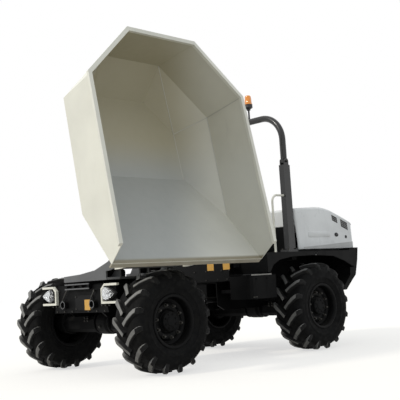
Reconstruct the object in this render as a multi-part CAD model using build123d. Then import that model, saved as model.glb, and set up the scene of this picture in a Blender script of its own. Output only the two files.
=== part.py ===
from build123d import *
import os
from math import atan2, cos, degrees, hypot, radians, sin, sqrt, tan

# Articulated four-wheel-drive site dumper with a swivel skip.
# Modelling frame: +X is the machine's front, +Y its left side, +Z up. X is 0 at the front axle, Y is 0 on the
# centre plane and Z is 0 on the ground. All pieces are moved together at the end, so that the origin of the
# written model is the bottom centre of the whole machine.
# The skip is stored slewed to the machine's left and tipped, as the machine stands.

# ---------------------------------------------------------------- driving dimensions, in millimetres and degrees
PIVOT_X = -1200.0          # centre joint behind the front axle
REAR_AXLE_X = -2470.0      # rear axle behind the front axle
TRACK = 1820.0             # between the wheels' centre planes

TYRE_R = 535.0             # over the lugs, loaded
TYRE_W = 405.0
LUG_HEIGHT = 36.0
LUG_WIDTH = 46.0
LUG_COUNT = 16             # on each half of the tread
LUG_LEAN = -41.0           # of a lug against the wheel's axis; its outer end trails at the top
LUG_Y0 = 8.0               # lug's middle line, from near the centre of the tread
LUG_Y1 = 187.4             # to the shoulder
RIM_SEAT_R = 256.0         # where the tyre sits
RIM_WALL = 12.0
RIM_HALF_WIDTH = 168.0
RIM_FLANGE_R = 278.0
RIM_FLATS = 24
DISC_RECESS = 96.0         # wheel disc behind the rim's outer edge
DISC_THICK = 14.0
HUB_R = 118.0
HUB_NOSE = 52.0            # hub in front of the disc
HUB_FACE_Y = 62.0          # axle end inboard of the wheel's centre plane
RUN_GAP = 0.5              # between faces that turn on each other

AXLE_BEAM_HALF = 95.0      # axle housing, half its width along the machine
AXLE_BEAM_Z0 = 427.0
AXLE_BEAM_Z1 = 604.0
AXLE_DIFF_R = 132.0
AXLE_END_R = 128.0
AXLE_END_W = 120.0

CHASSIS_PLATE = 16.0
FRONT_FRAME_HALF = 300.0   # front frame's half width outside its side plates
FRONT_DECK_Z = 965.0       # top of the front frame
FRONT_BELLY_Z = 610.0
PANEL_X = 375.0            # front face of the front panel
PANEL_THICK = 12.0
TYRE_INNER_Y = TRACK / 2 - TYRE_W / 2
PANEL_HALF = TYRE_INNER_Y - 67.5
PANEL_Z0 = 662.0
PANEL_Z1 = 952.0
GUARD_Y1 = TYRE_INNER_Y - 17.5      # headlamp guard, outer edge
GUARD_Y0 = GUARD_Y1 - 272.0         # and inner edge
GUARD_Z0 = 752.0
GUARD_Z1 = 962.0
GUARD_BAR = 24.0
GUARD_DEPTH = 34.0
LAMP_DEPTH = 62.0
TIE_Y = 270.0              # tie-down tubes
TIE_LENGTH = 52.0
TIE_Z = 752.0
TIE_R = 44.0
TIE_WALL = 10.0
RAIL_HALF = 222.0
RAIL_DEPTH = 40.0
RAIL_Z0 = 915.0
RAIL_Z1 = 978.0

SLEW_X = -44.0             # slewing axis
SLEW_R = 395.0
SLEW_HOLE_R = 285.0
SLEW_H = 34.0
SLEW_REST = 90.0           # skip stored to the left
SLEW_PLATE = 24.0

FRAME_HALF = 450.0         # slewing frame, half width outside
FRAME_PLATE = 20.0
TIP_R = 768.0              # tip pivot in front of the slewing axis
TIP_Z = 1243.0             # tip pivot above the ground
TIP_REST = 77.5            # skip stored tipped
TIP_PIN_R = 30.0
TIP_BOSS_R = 78.0
SWIVEL_LOW_R = TYRE_INNER_Y - 20.0   # within this radius the slewing frame may lie lower than the tyres' tops
TYRE_CLEAR_Z = 2 * TYRE_R + 22.0    # beyond it, its undersides

SKIP_PIVOT_S = 450.0       # tip pivot in the skip's own lengthways measure
SKIP_PIVOT_H = 60.0        # tip pivot above the skip's floor
SKIP_WALL = 8.0
SKIP_FLOOR_HALF = 735.0
SKIP_CREASE_HALF = 998.0
SKIP_RIM_HALF = 1036.0
SKIP_CREASE_H = 337.0
SKIP_RIM_H = 881.0         # at the rear
SKIP_RIM_FRONT_H = 849.0
SKIP_REAR_S = -1690.0
SKIP_REAR_HALF = 443.0
SKIP_FLOOR_REAR_S = -1375.0
SKIP_FLOOR_REAR_HALF = 400.0
SKIP_FLOOR_FRONT_S = -439.0
SKIP_RIM_FRONT_S = 568.0
SKIP_LIP_S = 692.0
SKIP_LIP_H = 638.0
RIM_BAR_W = 44.0
RIM_BAR_H = 24.0
LIP_W = 58.0
LIP_THICK = 16.0

RAM_R = 44.0
RAM_ROD_R = 27.0
RAM_EYE_R = 36.0
RAM_EYE_HALF = 48.0
RAM_PIN_R = 17.0
RAM_BASE_R = 550.0         # ram's foot in front of the slewing axis
RAM_BASE_Z = 1085.0
RAM_EYE_S = -600.0         # ram's eye on the skip
RAM_EYE_H = -92.0

STEER_RANGE = 30.0
LINK_Z = 600.0             # oscillation axis above the ground
LINK_R = 75.0

POST_X = -2300.0           # ROPS posts
POST_Y = 775.0
POST_LX = 120.0
POST_LY = 78.0
POST_FOOT_Z = 1252.0
FOLD_Z = 2372.0
HOOP_R = 41.0
HOOP_TOP_Z = 2980.0
HOOP_BEND_R = 325.0
GRAB_R = 14.0
RAIL_X = -2020.0
RAIL_BEND_Z = 1845.0
RAIL_BEND_R = 90.0
BEACON_Y = 235.0
BEACON_R = 52.0
BEACON_H = 125.0
BEACON_STALK = 118.0
BEACON_BASE_H = 78.0

DECK_Z = 1212.0            # top of the rear deck
DECK_HALF = 1055.0
DECK_X0 = -1535.0
DECK_X1 = -3270.0

BONNET_X0 = -2385.0
BONNET_HALF = 850.0
BONNET_TOP_HALF = 800.0
BONNET_Z0 = 1250.0
BONNET_CORNER_X = -3540.0  # where the bonnet's plan starts to narrow to its rear
BONNET_REAR_HALF = 640.0
FIREWALL_Z = 1550.0
BONNET_WALL = 12.0
SEAL_GAP = 0.3

REAR_FRAME_HALF = 330.0
REAR_FRAME_Z0 = 560.0
BONNET_HINGE = (-2385.0, 1760.0)
HINGE_PIN_R = 8.0
TANK_Y0 = 600.0            # side tanks, which carry the step treads
TANK_Y1 = 935.0
TANK_X0 = -1340.0
TANK_X1 = -1800.0
TANK_Z0 = 682.0
TANK_Z1 = 953.0
TREAD_H = 14.0
ENGINE_HALF = 285.0
ENGINE_GAP = REAR_FRAME_HALF - CHASSIS_PLATE - ENGINE_HALF   # engine's side to the frame's plate, bridged by its feet

WHEELS = {                 # wheel's centre: X, Y
    "front_left": (0.0, TRACK / 2),
    "front_right": (0.0, -TRACK / 2),
    "rear_left": (REAR_AXLE_X, TRACK / 2),
    "rear_right": (REAR_AXLE_X, -TRACK / 2),
}

nodes = {}


# ---------------------------------------------------------------- shapes used by more than one piece
def box(x0, x1, y0, y1, z0, z1):
    return Solid.make_box(x1 - x0, y1 - y0, z1 - z0, Plane((x0, y0, z0)))


def rod(start, end, r):
    a = Vector(*start)
    b = Vector(*end)
    return Solid.make_cylinder(r, (b - a).length, Plane(a, z_dir=(b - a)))


def across(x, z, r, y0, y1):
    return Solid.make_cylinder(r, y1 - y0, Plane((x, y0, z), z_dir=(0, 1, 0)))


def upright(x, y, r, z0, z1):
    return Solid.make_cylinder(r, z1 - z0, Plane((x, y, z0)))


def prism(points, direction):
    """A flat outline of 3-D points, pushed along a direction."""
    face = Face(Wire.make_polygon([Vector(*p) for p in points], close=True))
    return Solid.extrude(face, Vector(*direction))


def side_prism(xz, y0, y1):
    return prism([(x, y0, z) for x, z in xz], (0, y1 - y0, 0))


def front_prism(yz, x0, x1):
    return prism([(x0, y, z) for y, z in yz], (x1 - x0, 0, 0))


def plan_prism(xy, z0, z1):
    return prism([(x, y, z0) for x, y in xy], (0, 0, z1 - z0))


def both_sides(shape):
    return shape + shape.mirror(Plane.XZ)


def through(sections):
    """A ruled solid through closed outlines with the same number of points."""
    faces = [Face(Wire.make_polygon([Vector(*p) for p in pts], close=True)) for pts in sections]
    return Solid.make_loft([f.outer_wire() for f in faces], ruled=True)


def fuse(first, *others):
    shape = first
    for other in others:
        shape = shape + other
    return shape


def add(name, shape):
    nodes[name] = shape


def flats(r, y, count):
    """Corners of a regular outline about the Y axis, with its flats at radius r."""
    corner = r / cos(radians(180 / count))
    turns = [radians(360 * i / count) for i in range(count)]
    return [(corner * cos(t), y, corner * sin(t)) for t in turns]


def drum(profile, count=RIM_FLATS):
    """A solid about the Y axis through a table of (y, radius)."""
    return through([flats(r, y, count) for y, r in profile])


# ---------------------------------------------------------------- wheels
CARCASS_R = TYRE_R - LUG_HEIGHT


def make_lug(angle, side):
    """One lug from the middle of the tread out over the shoulder on one side."""
    lean = radians(LUG_LEAN)
    mid_y = (LUG_Y0 + LUG_Y1) / 2
    corner = (LUG_WIDTH / 2) * cos(lean)
    top = [(LUG_Y0, TYRE_R), (LUG_Y1 - 36, TYRE_R), (LUG_Y1, TYRE_R - 36)]
    bottom = [(LUG_Y1, CARCASS_R - 80), (LUG_Y0, CARCASS_R - 30)]
    outline = []
    for y, r in top:
        u = (y - mid_y) / cos(lean)
        t = abs(u * sin(lean)) + corner
        outline.append((u, sqrt((r - 0.05) ** 2 - t ** 2)))
    for y, r in bottom:
        u = (y - mid_y) / cos(lean)
        t = abs(u * sin(lean)) + corner
        outline.append((u, sqrt(r ** 2 - t ** 2)))
    along = (side * cos(lean), sin(lean))
    wide = (-side * sin(lean) * LUG_WIDTH, cos(lean) * LUG_WIDTH)
    pts = []
    for u, rho in outline:
        y = side * mid_y + u * along[0] - wide[0] / 2
        t = u * along[1] - wide[1] / 2
        pts.append((t, y, rho))
    lug = prism(pts, (wide[1], wide[0], 0))
    return lug.rotate(Axis.Y, angle)


def make_tyre():
    half = TYRE_W / 2
    shoulder = half - 40
    outer = [(-half, 405), (-shoulder, CARCASS_R - 6), (shoulder, CARCASS_R - 6), (half, 405)]
    tyre = drum(outer, LUG_COUNT)
    tyre -= drum([(-half - 1, RIM_SEAT_R), (half + 1, RIM_SEAT_R)])
    for side in (-1, 1):
        dish = [(side * (RIM_HALF_WIDTH + 3), 284), (side * (half + 1), 398)]
        tyre -= drum(dish)
    lugs = []
    pitch = 360 / LUG_COUNT
    for i in range(LUG_COUNT):
        lugs.append(make_lug(i * pitch, 1))
        lugs.append(make_lug((i + 0.5) * pitch, -1))
    return tyre.fuse(*lugs).solids()[0]


def make_rim(side):
    """Rim, disc and hub; side is 1 for a wheel whose outside faces +Y."""
    w = RIM_HALF_WIDTH
    barrel = drum([(-w - 14, RIM_SEAT_R), (w + 14, RIM_SEAT_R)])
    for y in (-1, 1):
        flange = drum([(y * (w + 4.5), RIM_FLANGE_R), (y * (w + 14), RIM_FLANGE_R)])
        barrel = barrel + flange
    inner = RIM_SEAT_R - RIM_WALL
    barrel -= drum([(-w - 20, inner), (w + 20, inner)])
    face = w + 14 - DISC_RECESS
    disc = drum([(face - DISC_THICK, inner + 1), (face, inner + 1)])
    hub = Solid.make_cylinder(HUB_R, face + HUB_FACE_Y - 1, Plane((0, -HUB_FACE_Y, 0), z_dir=(0, 1, 0)))
    nose = drum([(face - 1, 92), (face + HUB_NOSE - 14, 88), (face + HUB_NOSE, 66)], 24)
    rim = fuse(barrel, disc, hub, nose)
    if side < 0:
        rim = rim.rotate(Axis.Z, 180)
    return rim


tyre = make_tyre()
rims = {1: make_rim(1), -1: make_rim(-1)}
for corner, (x, y) in WHEELS.items():
    side = 1 if y > 0 else -1
    add("tyre_" + corner, tyre.translate(Vector(x, y, TYRE_R)))
    add("rim_" + corner, rims[side].translate(Vector(x, y, TYRE_R)))


# ---------------------------------------------------------------- axles
def make_axle(x, saddle_half, saddle_top):
    hub_y = TRACK / 2 - HUB_FACE_Y - RUN_GAP
    z = TYRE_R
    low = AXLE_BEAM_Z0
    high = AXLE_BEAM_Z1
    half = AXLE_BEAM_HALF
    cut = 38.0
    beam = [(x - half, low + cut), (x - half + cut, low), (x + half - cut, low), (x + half, low + cut),
            (x + half, high - cut), (x + half - cut, high), (x - half + cut, high), (x - half, high - cut)]
    axle = side_prism(beam, -hub_y, hub_y)
    for side in (-1, 1):
        y0, y1 = sorted((side * hub_y, side * (hub_y - AXLE_END_W)))
        axle += across(x, z, AXLE_END_R, y0, y1)
        axle += box(x - 95, x + 95, side * saddle_half - 42, side * saddle_half + 42, z, saddle_top)
    ball = [(-118, 96), (-70, AXLE_DIFF_R), (70, AXLE_DIFF_R), (118, 96)]
    axle += drum(ball, 24).translate(Vector(x, 0, z))
    return axle


add("front_axle", make_axle(0.0, FRONT_FRAME_HALF - CHASSIS_PLATE / 2, FRONT_BELLY_Z))
add("rear_axle", make_axle(REAR_AXLE_X, REAR_FRAME_HALF - CHASSIS_PLATE / 2, REAR_FRAME_Z0 + 60))

# ---------------------------------------------------------------- front chassis
FORK_R = 92.0
FORK_PLATE = 26.0
LINK_HALF = 120.0          # half height of the link block between the forks
PIN_R = 36.0


def make_front_chassis():
    top = FRONT_DECK_Z
    t = CHASSIS_PLATE
    back = PIVOT_X + 190
    side = [(PANEL_X - PANEL_THICK, top), (PANEL_X - PANEL_THICK, 700), (250, FRONT_BELLY_Z),
            (-560, FRONT_BELLY_Z), (-720, 455), (back, 455), (back, 780), (-760, top)]
    half = FRONT_FRAME_HALF
    shape = side_prism(side, half - t, half) + side_prism(side, -half, t - half)
    deck = [(PANEL_X - PANEL_THICK, half + 130), (-380, half + 130), (-560, half), (-760, half),
            (-760, -half), (-560, -half), (-380, -half - 130), (PANEL_X - PANEL_THICK, -half - 130)]
    shape += plan_prism(deck, top - t, top)
    shape += box(back - t, back, -half, half, 455, 780)
    shape += box(-560, -540, -half + t, half - t, FRONT_BELLY_Z, top - t)
    shape += box(-716, -560, -half + t, half - t, FRONT_BELLY_Z - 2, FRONT_BELLY_Z + t)
    for z in (LINK_Z + LINK_HALF + 5, LINK_Z - LINK_HALF - 5 - FORK_PLATE):
        fork = upright(PIVOT_X, 0, FORK_R, z, z + FORK_PLATE)
        fork += plan_prism([(PIVOT_X, FORK_R), (PIVOT_X, -FORK_R), (back - 4, -210), (back - 4, 210)], z, z + FORK_PLATE)
        fork -= upright(PIVOT_X, 0, PIN_R + RUN_GAP, z - 1, z + FORK_PLATE + 1)
        shape += fork
    for s in (-1, 1):
        # steering ram's clevis cheeks
        for z in (STEER_Z - 52, STEER_Z + 36):
            eye_x, eye_y = STEER_EYE
            cheek = [(back - 4, s * (eye_y - 68)), (back - 4, s * (eye_y + 74)), (eye_x - 32, s * (eye_y + 32)),
                     (eye_x - 32, s * (eye_y - 32))]
            shape += plan_prism(cheek, z, z + 16)
    return shape


STEER_Z = 690.0
STEER_EYE = (-1105.0, 218.0)       # ram's eye on the front frame
STEER_FOOT = (-1700.0, 232.0)      # ram's foot on the rear frame
STEER_RAM_R = 34.0
STEER_ROD_R = 18.0
STEER_PIN_R = 15.0

add("front_chassis", make_front_chassis())


def make_front_panel():
    x0 = PANEL_X - PANEL_THICK
    half = PANEL_HALF
    waist = 470.0          # narrower between the lamp guards and the foot
    foot = 500.0
    waist_z = PANEL_Z0 + 100
    panel = front_prism([(-half, PANEL_Z1), (-half, waist_z + 12), (-waist, waist_z), (-foot, PANEL_Z0),
                         (foot, PANEL_Z0), (waist, waist_z), (half, waist_z + 12), (half, PANEL_Z1)], x0, PANEL_X)
    for s in (-1, 1):
        panel += box(-120, x0, s * 436 - 6, s * 436 + 6, PANEL_Z1 - 150, FRONT_DECK_Z - CHASSIS_PLATE)
        panel += side_prism([(x0, PANEL_Z0 + 110), (x0, PANEL_Z1), (120, PANEL_Z1)], s * (half - 6) - 6, s * (half - 6) + 6)
        tube = rod((PANEL_X - 1, s * TIE_Y, TIE_Z), (PANEL_X + TIE_LENGTH, s * TIE_Y, TIE_Z), TIE_R)
        panel += tube - rod((PANEL_X, s * TIE_Y, TIE_Z), (PANEL_X + TIE_LENGTH + 1, s * TIE_Y, TIE_Z), TIE_R - TIE_WALL)
    rail = box(PANEL_X - 1, PANEL_X + RAIL_DEPTH, -RAIL_HALF, RAIL_HALF, RAIL_Z0, RAIL_Z1)
    slot = RAIL_HALF / 3 - 24
    for y in (-RAIL_HALF * 0.62, 0.0, RAIL_HALF * 0.62):
        rail -= box(PANEL_X + 10, PANEL_X + RAIL_DEPTH + 1, y - slot, y + slot, RAIL_Z0 + 18, RAIL_Z1 - 18)
    return panel + rail


add("front_panel", make_front_panel())

for s in (-1, 1):
    x1 = PANEL_X + GUARD_DEPTH
    y0 = GUARD_Y0
    y1 = GUARD_Y1
    b = GUARD_BAR
    outer = [(s * (y0 + 62), GUARD_Z1), (s * y1, GUARD_Z1), (s * y1, GUARD_Z1 - b), (s * (y0 + 62), GUARD_Z1 - b),
             (s * (y0 + b), GUARD_Z1 - 62), (s * (y0 + b), GUARD_Z0 + b), (s * y1, GUARD_Z0 + b),
             (s * y1, GUARD_Z0), (s * y0, GUARD_Z0), (s * y0, GUARD_Z1 - 52)]
    guard = front_prism(outer, PANEL_X, x1)
    add("lamp_guard_left" if s > 0 else "lamp_guard_right", guard)
    # drop-shaped lamp, its point outboard
    z = (GUARD_Z0 + GUARD_Z1) / 2
    lamp = [(34, 2), (50, 44), (96, 70), (158, 56), (y1 - y0 - 22, 8), (y1 - y0 - 22, -8), (158, -56), (96, -70), (50, -44)]
    solid = front_prism([(s * (y0 + y), z + dz) for y, dz in lamp], PANEL_X, PANEL_X + LAMP_DEPTH)
    add("headlamp_left" if s > 0 else "headlamp_right", solid)

ring = upright(SLEW_X, 0, SLEW_R, FRONT_DECK_Z, FRONT_DECK_Z + SLEW_H - RUN_GAP)
ring -= upright(SLEW_X, 0, SLEW_HOLE_R, FRONT_DECK_Z - 1, FRONT_DECK_Z + SLEW_H)
add("slew_ring", ring)


# ---------------------------------------------------------------- slewing frame, drawn facing +X with its axis at X = 0
def at_slew(shape):
    """From the slewing frame's own place to the machine, as it is stored."""
    return shape.rotate(Axis.Z, SLEW_REST).translate(Vector(SLEW_X, 0, 0))


SLEW_Z0 = FRONT_DECK_Z + SLEW_H
SLEW_Z1 = SLEW_Z0 + SLEW_PLATE
EAR_GAP = 6.0
EAR_PLATE = 34.0


def make_swivel_frame():
    nose_half = 330.0
    nose = sqrt(SWIVEL_LOW_R ** 2 - nose_half ** 2)
    low_x = sqrt(SWIVEL_LOW_R ** 2 - FRAME_HALF ** 2)
    base = [(-360, -300), (-360, 300), (-250, FRAME_HALF), (low_x, FRAME_HALF), (nose, nose_half), (nose, -nose_half),
            (low_x, -FRAME_HALF), (-250, -FRAME_HALF)]
    shape = plan_prism(base, SLEW_Z0, SLEW_Z1)
    top = TIP_Z + 41
    plate = [(-250, SLEW_Z0), (-250, 1062), (60, 1076), (330, 1108), (560, 1185), (640, TIP_Z - 3), (TIP_R - 68, top),
             (TIP_R + 68, top), (TIP_R + TIP_BOSS_R, TIP_Z), (TIP_R + 68, TIP_Z - 53), (TIP_R - 68, TYRE_CLEAR_Z + 30),
             (low_x + 60, TYRE_CLEAR_Z), (low_x, TYRE_CLEAR_Z), (low_x, SLEW_Z0)]
    for s in (-1, 1):
        y0, y1 = sorted((s * FRAME_HALF, s * (FRAME_HALF - FRAME_PLATE)))
        shape += side_prism(plate, y0, y1)
        y0, y1 = sorted((s * (FRAME_HALF - 70), s * FRAME_HALF))
        shape += across(TIP_R, TIP_Z, TIP_BOSS_R - 6, y0, y1)
        y0, y1 = sorted((s * (FRAME_HALF - 60), s * (FRAME_HALF + EAR_GAP + EAR_PLATE + 14)))
        shape += across(TIP_R, TIP_Z, TIP_PIN_R, y0, y1)
        # cheeks for the tipping ram's foot
        y0, y1 = sorted((s * 52, s * 70))
        cheek = [(RAM_BASE_R - 120, SLEW_Z1 - 1), (RAM_BASE_R - 45, RAM_BASE_Z + 43), (RAM_BASE_R + 40, RAM_BASE_Z + 43),
                 (nose, RAM_BASE_Z + 30), (nose, SLEW_Z1 - 1)]
        shape += side_prism(cheek, y0, y1)
        y0, y1 = sorted((s * (nose_half - 16), s * nose_half))
        shape += side_prism([(nose - 170, SLEW_Z1 - 1), (nose - 14, 1150), (nose, 1150), (nose, SLEW_Z1 - 1)], y0, y1)
    shape += across(RAM_BASE_R, RAM_BASE_Z, RAM_PIN_R, -70, 70)
    shape += box(nose - 1, nose + 15, -FRAME_HALF + 2, FRAME_HALF - 2, TYRE_CLEAR_Z + 8, TYRE_CLEAR_Z + 72)
    return shape


add("swivel_frame", at_slew(make_swivel_frame()))


# ---------------------------------------------------------------- skip, drawn lowered with its own s, w, h as X, Y, Z
def at_skip(shape):
    """From the skip's own measures to the machine, as it is stored."""
    shape = shape.translate(Vector(-SKIP_PIVOT_S, 0, -SKIP_PIVOT_H)).rotate(Axis.Y, TIP_REST)
    return at_slew(shape.translate(Vector(TIP_R, 0, TIP_Z)))


CHUTE_SLOPE = SKIP_LIP_H / (SKIP_LIP_S - SKIP_FLOOR_FRONT_S)
HUGE = 6000.0

# inside faces of the tub: three points each (s, w, h), w on the left half
TUB_FACES = {
    "floor": [(0, 0, 0), (100, 0, 0), (0, 100, 0)],
    "low_rear": [(SKIP_FLOOR_REAR_S, 0, 0), (SKIP_REAR_S, 0, SKIP_CREASE_H), (SKIP_FLOOR_REAR_S, 100, 0)],
    "low_side": [(-1016, SKIP_FLOOR_HALF, 0), (-1110, SKIP_CREASE_HALF, SKIP_CREASE_H), (79, SKIP_CREASE_HALF, 303)],
    "low_corner": [(-1016, SKIP_FLOOR_HALF, 0), (SKIP_REAR_S, 395, SKIP_CREASE_H), (-1110, SKIP_CREASE_HALF, SKIP_CREASE_H)],
    "rear": [(SKIP_REAR_S, 0, 0), (SKIP_REAR_S, 0, 100), (SKIP_REAR_S, 100, 0)],
    "corner": [(SKIP_REAR_S, 395, SKIP_CREASE_H), (-1110, SKIP_CREASE_HALF, SKIP_CREASE_H), (-1131, SKIP_RIM_HALF, SKIP_RIM_H)],
    "side": [(-1110, SKIP_CREASE_HALF, SKIP_CREASE_H), (79, SKIP_CREASE_HALF, 303), (-1131, SKIP_RIM_HALF, SKIP_RIM_H)],
    "chute": [(SKIP_FLOOR_FRONT_S, 0, 0), (SKIP_LIP_S, 0, SKIP_LIP_H), (SKIP_FLOOR_FRONT_S, 100, 0)],
}
TUB_TOP = [(SKIP_REAR_S, 0, SKIP_RIM_H + 2), (SKIP_RIM_FRONT_S, 0, SKIP_RIM_FRONT_H), (SKIP_REAR_S, 100, SKIP_RIM_H + 2)]
TUB_MOUTH = [(SKIP_RIM_FRONT_S, 0, SKIP_RIM_FRONT_H), (SKIP_LIP_S, 0, SKIP_LIP_H), (SKIP_RIM_FRONT_S, 100, SKIP_RIM_FRONT_H)]


def cut_beyond(shape, points, offset, mirrored):
    """Cuts away what lies more than offset beyond a face, on the face's far side from the tub's middle."""
    a, b, c = [Vector(*p) for p in points]
    if mirrored:
        a, b, c = [Vector(p.X, -p.Y, p.Z) for p in (a, b, c)]
    normal = (b - a).cross(c - a).normalized()
    if normal.dot(Vector(-700, 0, 450) - a) > 0:
        normal = normal * -1
    slab = Solid.make_box(HUGE, HUGE, HUGE, Plane(a + normal * offset, z_dir=normal).offset(0))
    slab = slab.translate((Plane(a, z_dir=normal).x_dir + Plane(a, z_dir=normal).y_dir) * (-HUGE / 2))
    return shape - slab


def tub(offset, top, mouth):
    shape = box(-2200, 1200, -1300, 1300, -200, 1100)
    for points in TUB_FACES.values():
        shape = cut_beyond(shape, points, offset, False)
        if any(p[1] > 150 for p in points):
            shape = cut_beyond(shape, points, offset, True)
    shape = cut_beyond(shape, TUB_TOP, top, False)
    return cut_beyond(shape, TUB_MOUTH, mouth, False)


shell = tub(SKIP_WALL, 0, 0) - tub(0, 100, 100)
add("skip_shell", at_skip(shell))


def rim_bar():
    """Flat bar standing out around the top edge, from one front corner round the rear to the other."""
    band = tub(SKIP_WALL + RIM_BAR_W - 12, 8, 400) - tub(-4, 100, 500)
    lower = [Vector(*p) - Vector(0, 0, RIM_BAR_H) for p in TUB_TOP]
    below = [(p.X, p.Y, p.Z) for p in lower]
    a, b = Vector(*below[0]), Vector(*below[1])
    normal = Vector(b.Z - a.Z, 0, a.X - b.X).normalized()
    if normal.Z > 0:
        normal = normal * -1
    slab = Solid.make_box(HUGE, HUGE, HUGE, Plane(a, z_dir=normal))
    place = Plane(a, z_dir=normal)
    slab = slab.translate((place.x_dir + place.y_dir) * (-HUGE / 2))
    band = band - slab
    return cut_beyond(band, TUB_MOUTH, 0, False)


rim_ring = rim_bar() - shell
add("skip_rim", at_skip(rim_ring.solids()[0] if len(rim_ring.solids()) == 1 else rim_ring))


def make_underframe():
    inner = FRAME_HALF + EAR_GAP
    ear = [(-60, 280), (220, 22), (330, -15), (585, -15), (600, 60), (640, 620)]
    frame = None
    for s in (-1, 1):
        y0, y1 = sorted((s * inner, s * (inner + EAR_PLATE)))
        plate = side_prism(ear, y0, y1)
        plate -= across(SKIP_PIVOT_S, SKIP_PIVOT_H, TIP_PIN_R + RUN_GAP, y0 - 1, y1 + 1)
        frame = plate if frame is None else frame + plate
        frame += box(-1290, -120, s * 265 - 14, s * 265 + 14, -58, 0)
        y0, y1 = sorted((s * 56, s * 72))
        cheek = [(-735, 0), (-465, 0), (RAM_EYE_S + 46, RAM_EYE_H - 46), (RAM_EYE_S - 46, RAM_EYE_H - 46)]
        frame += side_prism(cheek, y0, y1)
    for s0 in (-1290, -740, -476, -150):
        frame += box(s0, s0 + 16, -279, 279, -34, 0)
    frame += across(150, 236, 42, -inner - 1, inner + 1)
    for s in (-1, 1):
        # rails from the floor up the chute to the cross tube and the ears
        y0, y1 = sorted((s * 251, s * 279))
        frame += side_prism([(-136, -58), (-136, 60), (560, 600), (560, 560), (150, 200), (-60, -58)], y0, y1)
    return frame - tub(SKIP_WALL, 500, 500)


add("skip_underframe", at_skip(make_underframe()))

end = Vector(SKIP_LIP_S, 0, SKIP_LIP_H)
along = Vector(cos(atan2(CHUTE_SLOPE, 1)), 0, sin(atan2(CHUTE_SLOPE, 1)))
down = Vector(along.Z, 0, -along.X)
lip_points = [end + down * SKIP_WALL, end + down * SKIP_WALL - along * LIP_THICK,
              end + down * LIP_W - along * LIP_THICK, end + down * LIP_W]
lip = side_prism([(p.X, p.Z) for p in lip_points], -SKIP_RIM_HALF + 12, SKIP_RIM_HALF - 12)
add("skip_lip", at_skip(lip - tub(SKIP_WALL, 500, 500)))


# ---------------------------------------------------------------- tipping ram, drawn in the slewing frame
def eye_place(tip):
    """The ram's eye on the skip: distance in front of the slewing axis and height, at a tipping angle."""
    t = radians(tip)
    ds = RAM_EYE_S - SKIP_PIVOT_S
    dh = RAM_EYE_H - SKIP_PIVOT_H
    return TIP_R + ds * cos(t) + dh * sin(t), TIP_Z - ds * sin(t) + dh * cos(t)


def ram_length(tip):
    r, z = eye_place(tip)
    return hypot(r - RAM_BASE_R, z - RAM_BASE_Z)


def make_ram(foot, eye, closed, barrel_r, rod_r, eye_r, pin_r, half, plane_dir):
    """Barrel and rod of a ram between two pins; half is half of the eyes' width."""
    a = Vector(*foot)
    b = Vector(*eye)
    d = (b - a).normalized()
    length = (b - a).length
    side = Vector(*plane_dir)

    def turned(centre, r, h):
        start = centre - side * h
        return Solid.make_cylinder(r, 2 * h, Plane(start, z_dir=side))

    head = closed - eye_r - 26
    barrel = rod(a + d * (eye_r * 0.6), a + d * head, barrel_r) + turned(a, eye_r, half)
    barrel += rod(a + d * (head - 34), a + d * head, barrel_r + 5)
    barrel -= turned(a, pin_r + RUN_GAP, half + 1)
    barrel -= rod(a + d * (head - closed * 0.62), a + d * (head + 1), rod_r + RUN_GAP)
    stem = rod(a + d * (length - closed * 0.56), a + d * (length - eye_r * 0.6), rod_r)
    stem += turned(b, eye_r, half)
    stem += turned(b, pin_r, half + 4)
    return barrel, stem


rest_r, rest_z = eye_place(TIP_REST)
barrel, stem = make_ram((RAM_BASE_R, 0, RAM_BASE_Z), (rest_r, 0, rest_z), ram_length(0), RAM_R, RAM_ROD_R,
                        RAM_EYE_R, RAM_PIN_R, RAM_EYE_HALF, (0, 1, 0))
add("tip_ram_barrel", at_slew(barrel))
add("tip_ram_rod", at_slew(stem))


def steer_eye(turn):
    t = radians(turn)
    dx = STEER_EYE[0] - PIVOT_X
    dy = STEER_EYE[1]
    return PIVOT_X + dx * cos(t) - dy * sin(t), dx * sin(t) + dy * cos(t)


short_x, short_y = steer_eye(STEER_RANGE)
closed = hypot(short_x - STEER_FOOT[0], short_y - STEER_FOOT[1])
barrel, stem = make_ram((*STEER_FOOT, STEER_Z), (*STEER_EYE, STEER_Z), closed - 8, STEER_RAM_R, STEER_ROD_R, 28,
                        STEER_PIN_R, 30, (0, 0, 1))
add("steer_ram_barrel", barrel)
add("steer_ram_rod", stem)

# ---------------------------------------------------------------- rear chassis
JOINT_X = PIVOT_X - 200    # front of the rear frame


def make_centre_link():
    link = box(PIVOT_X - 72, PIVOT_X + 66, -62, 62, LINK_Z - LINK_HALF, LINK_Z + LINK_HALF)
    link += rod((PIVOT_X - 60, 0, LINK_Z), (JOINT_X, 0, LINK_Z), LINK_R)
    reach = LINK_HALF + FORK_PLATE + 5
    link += upright(PIVOT_X, 0, PIN_R, LINK_Z - reach - 22, LINK_Z + reach + 22)
    for z in (LINK_Z - reach - 24, LINK_Z + reach + 6):
        link += upright(PIVOT_X, 0, 54, z, z + 18)
    return link


add("centre_link", make_centre_link())


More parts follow.
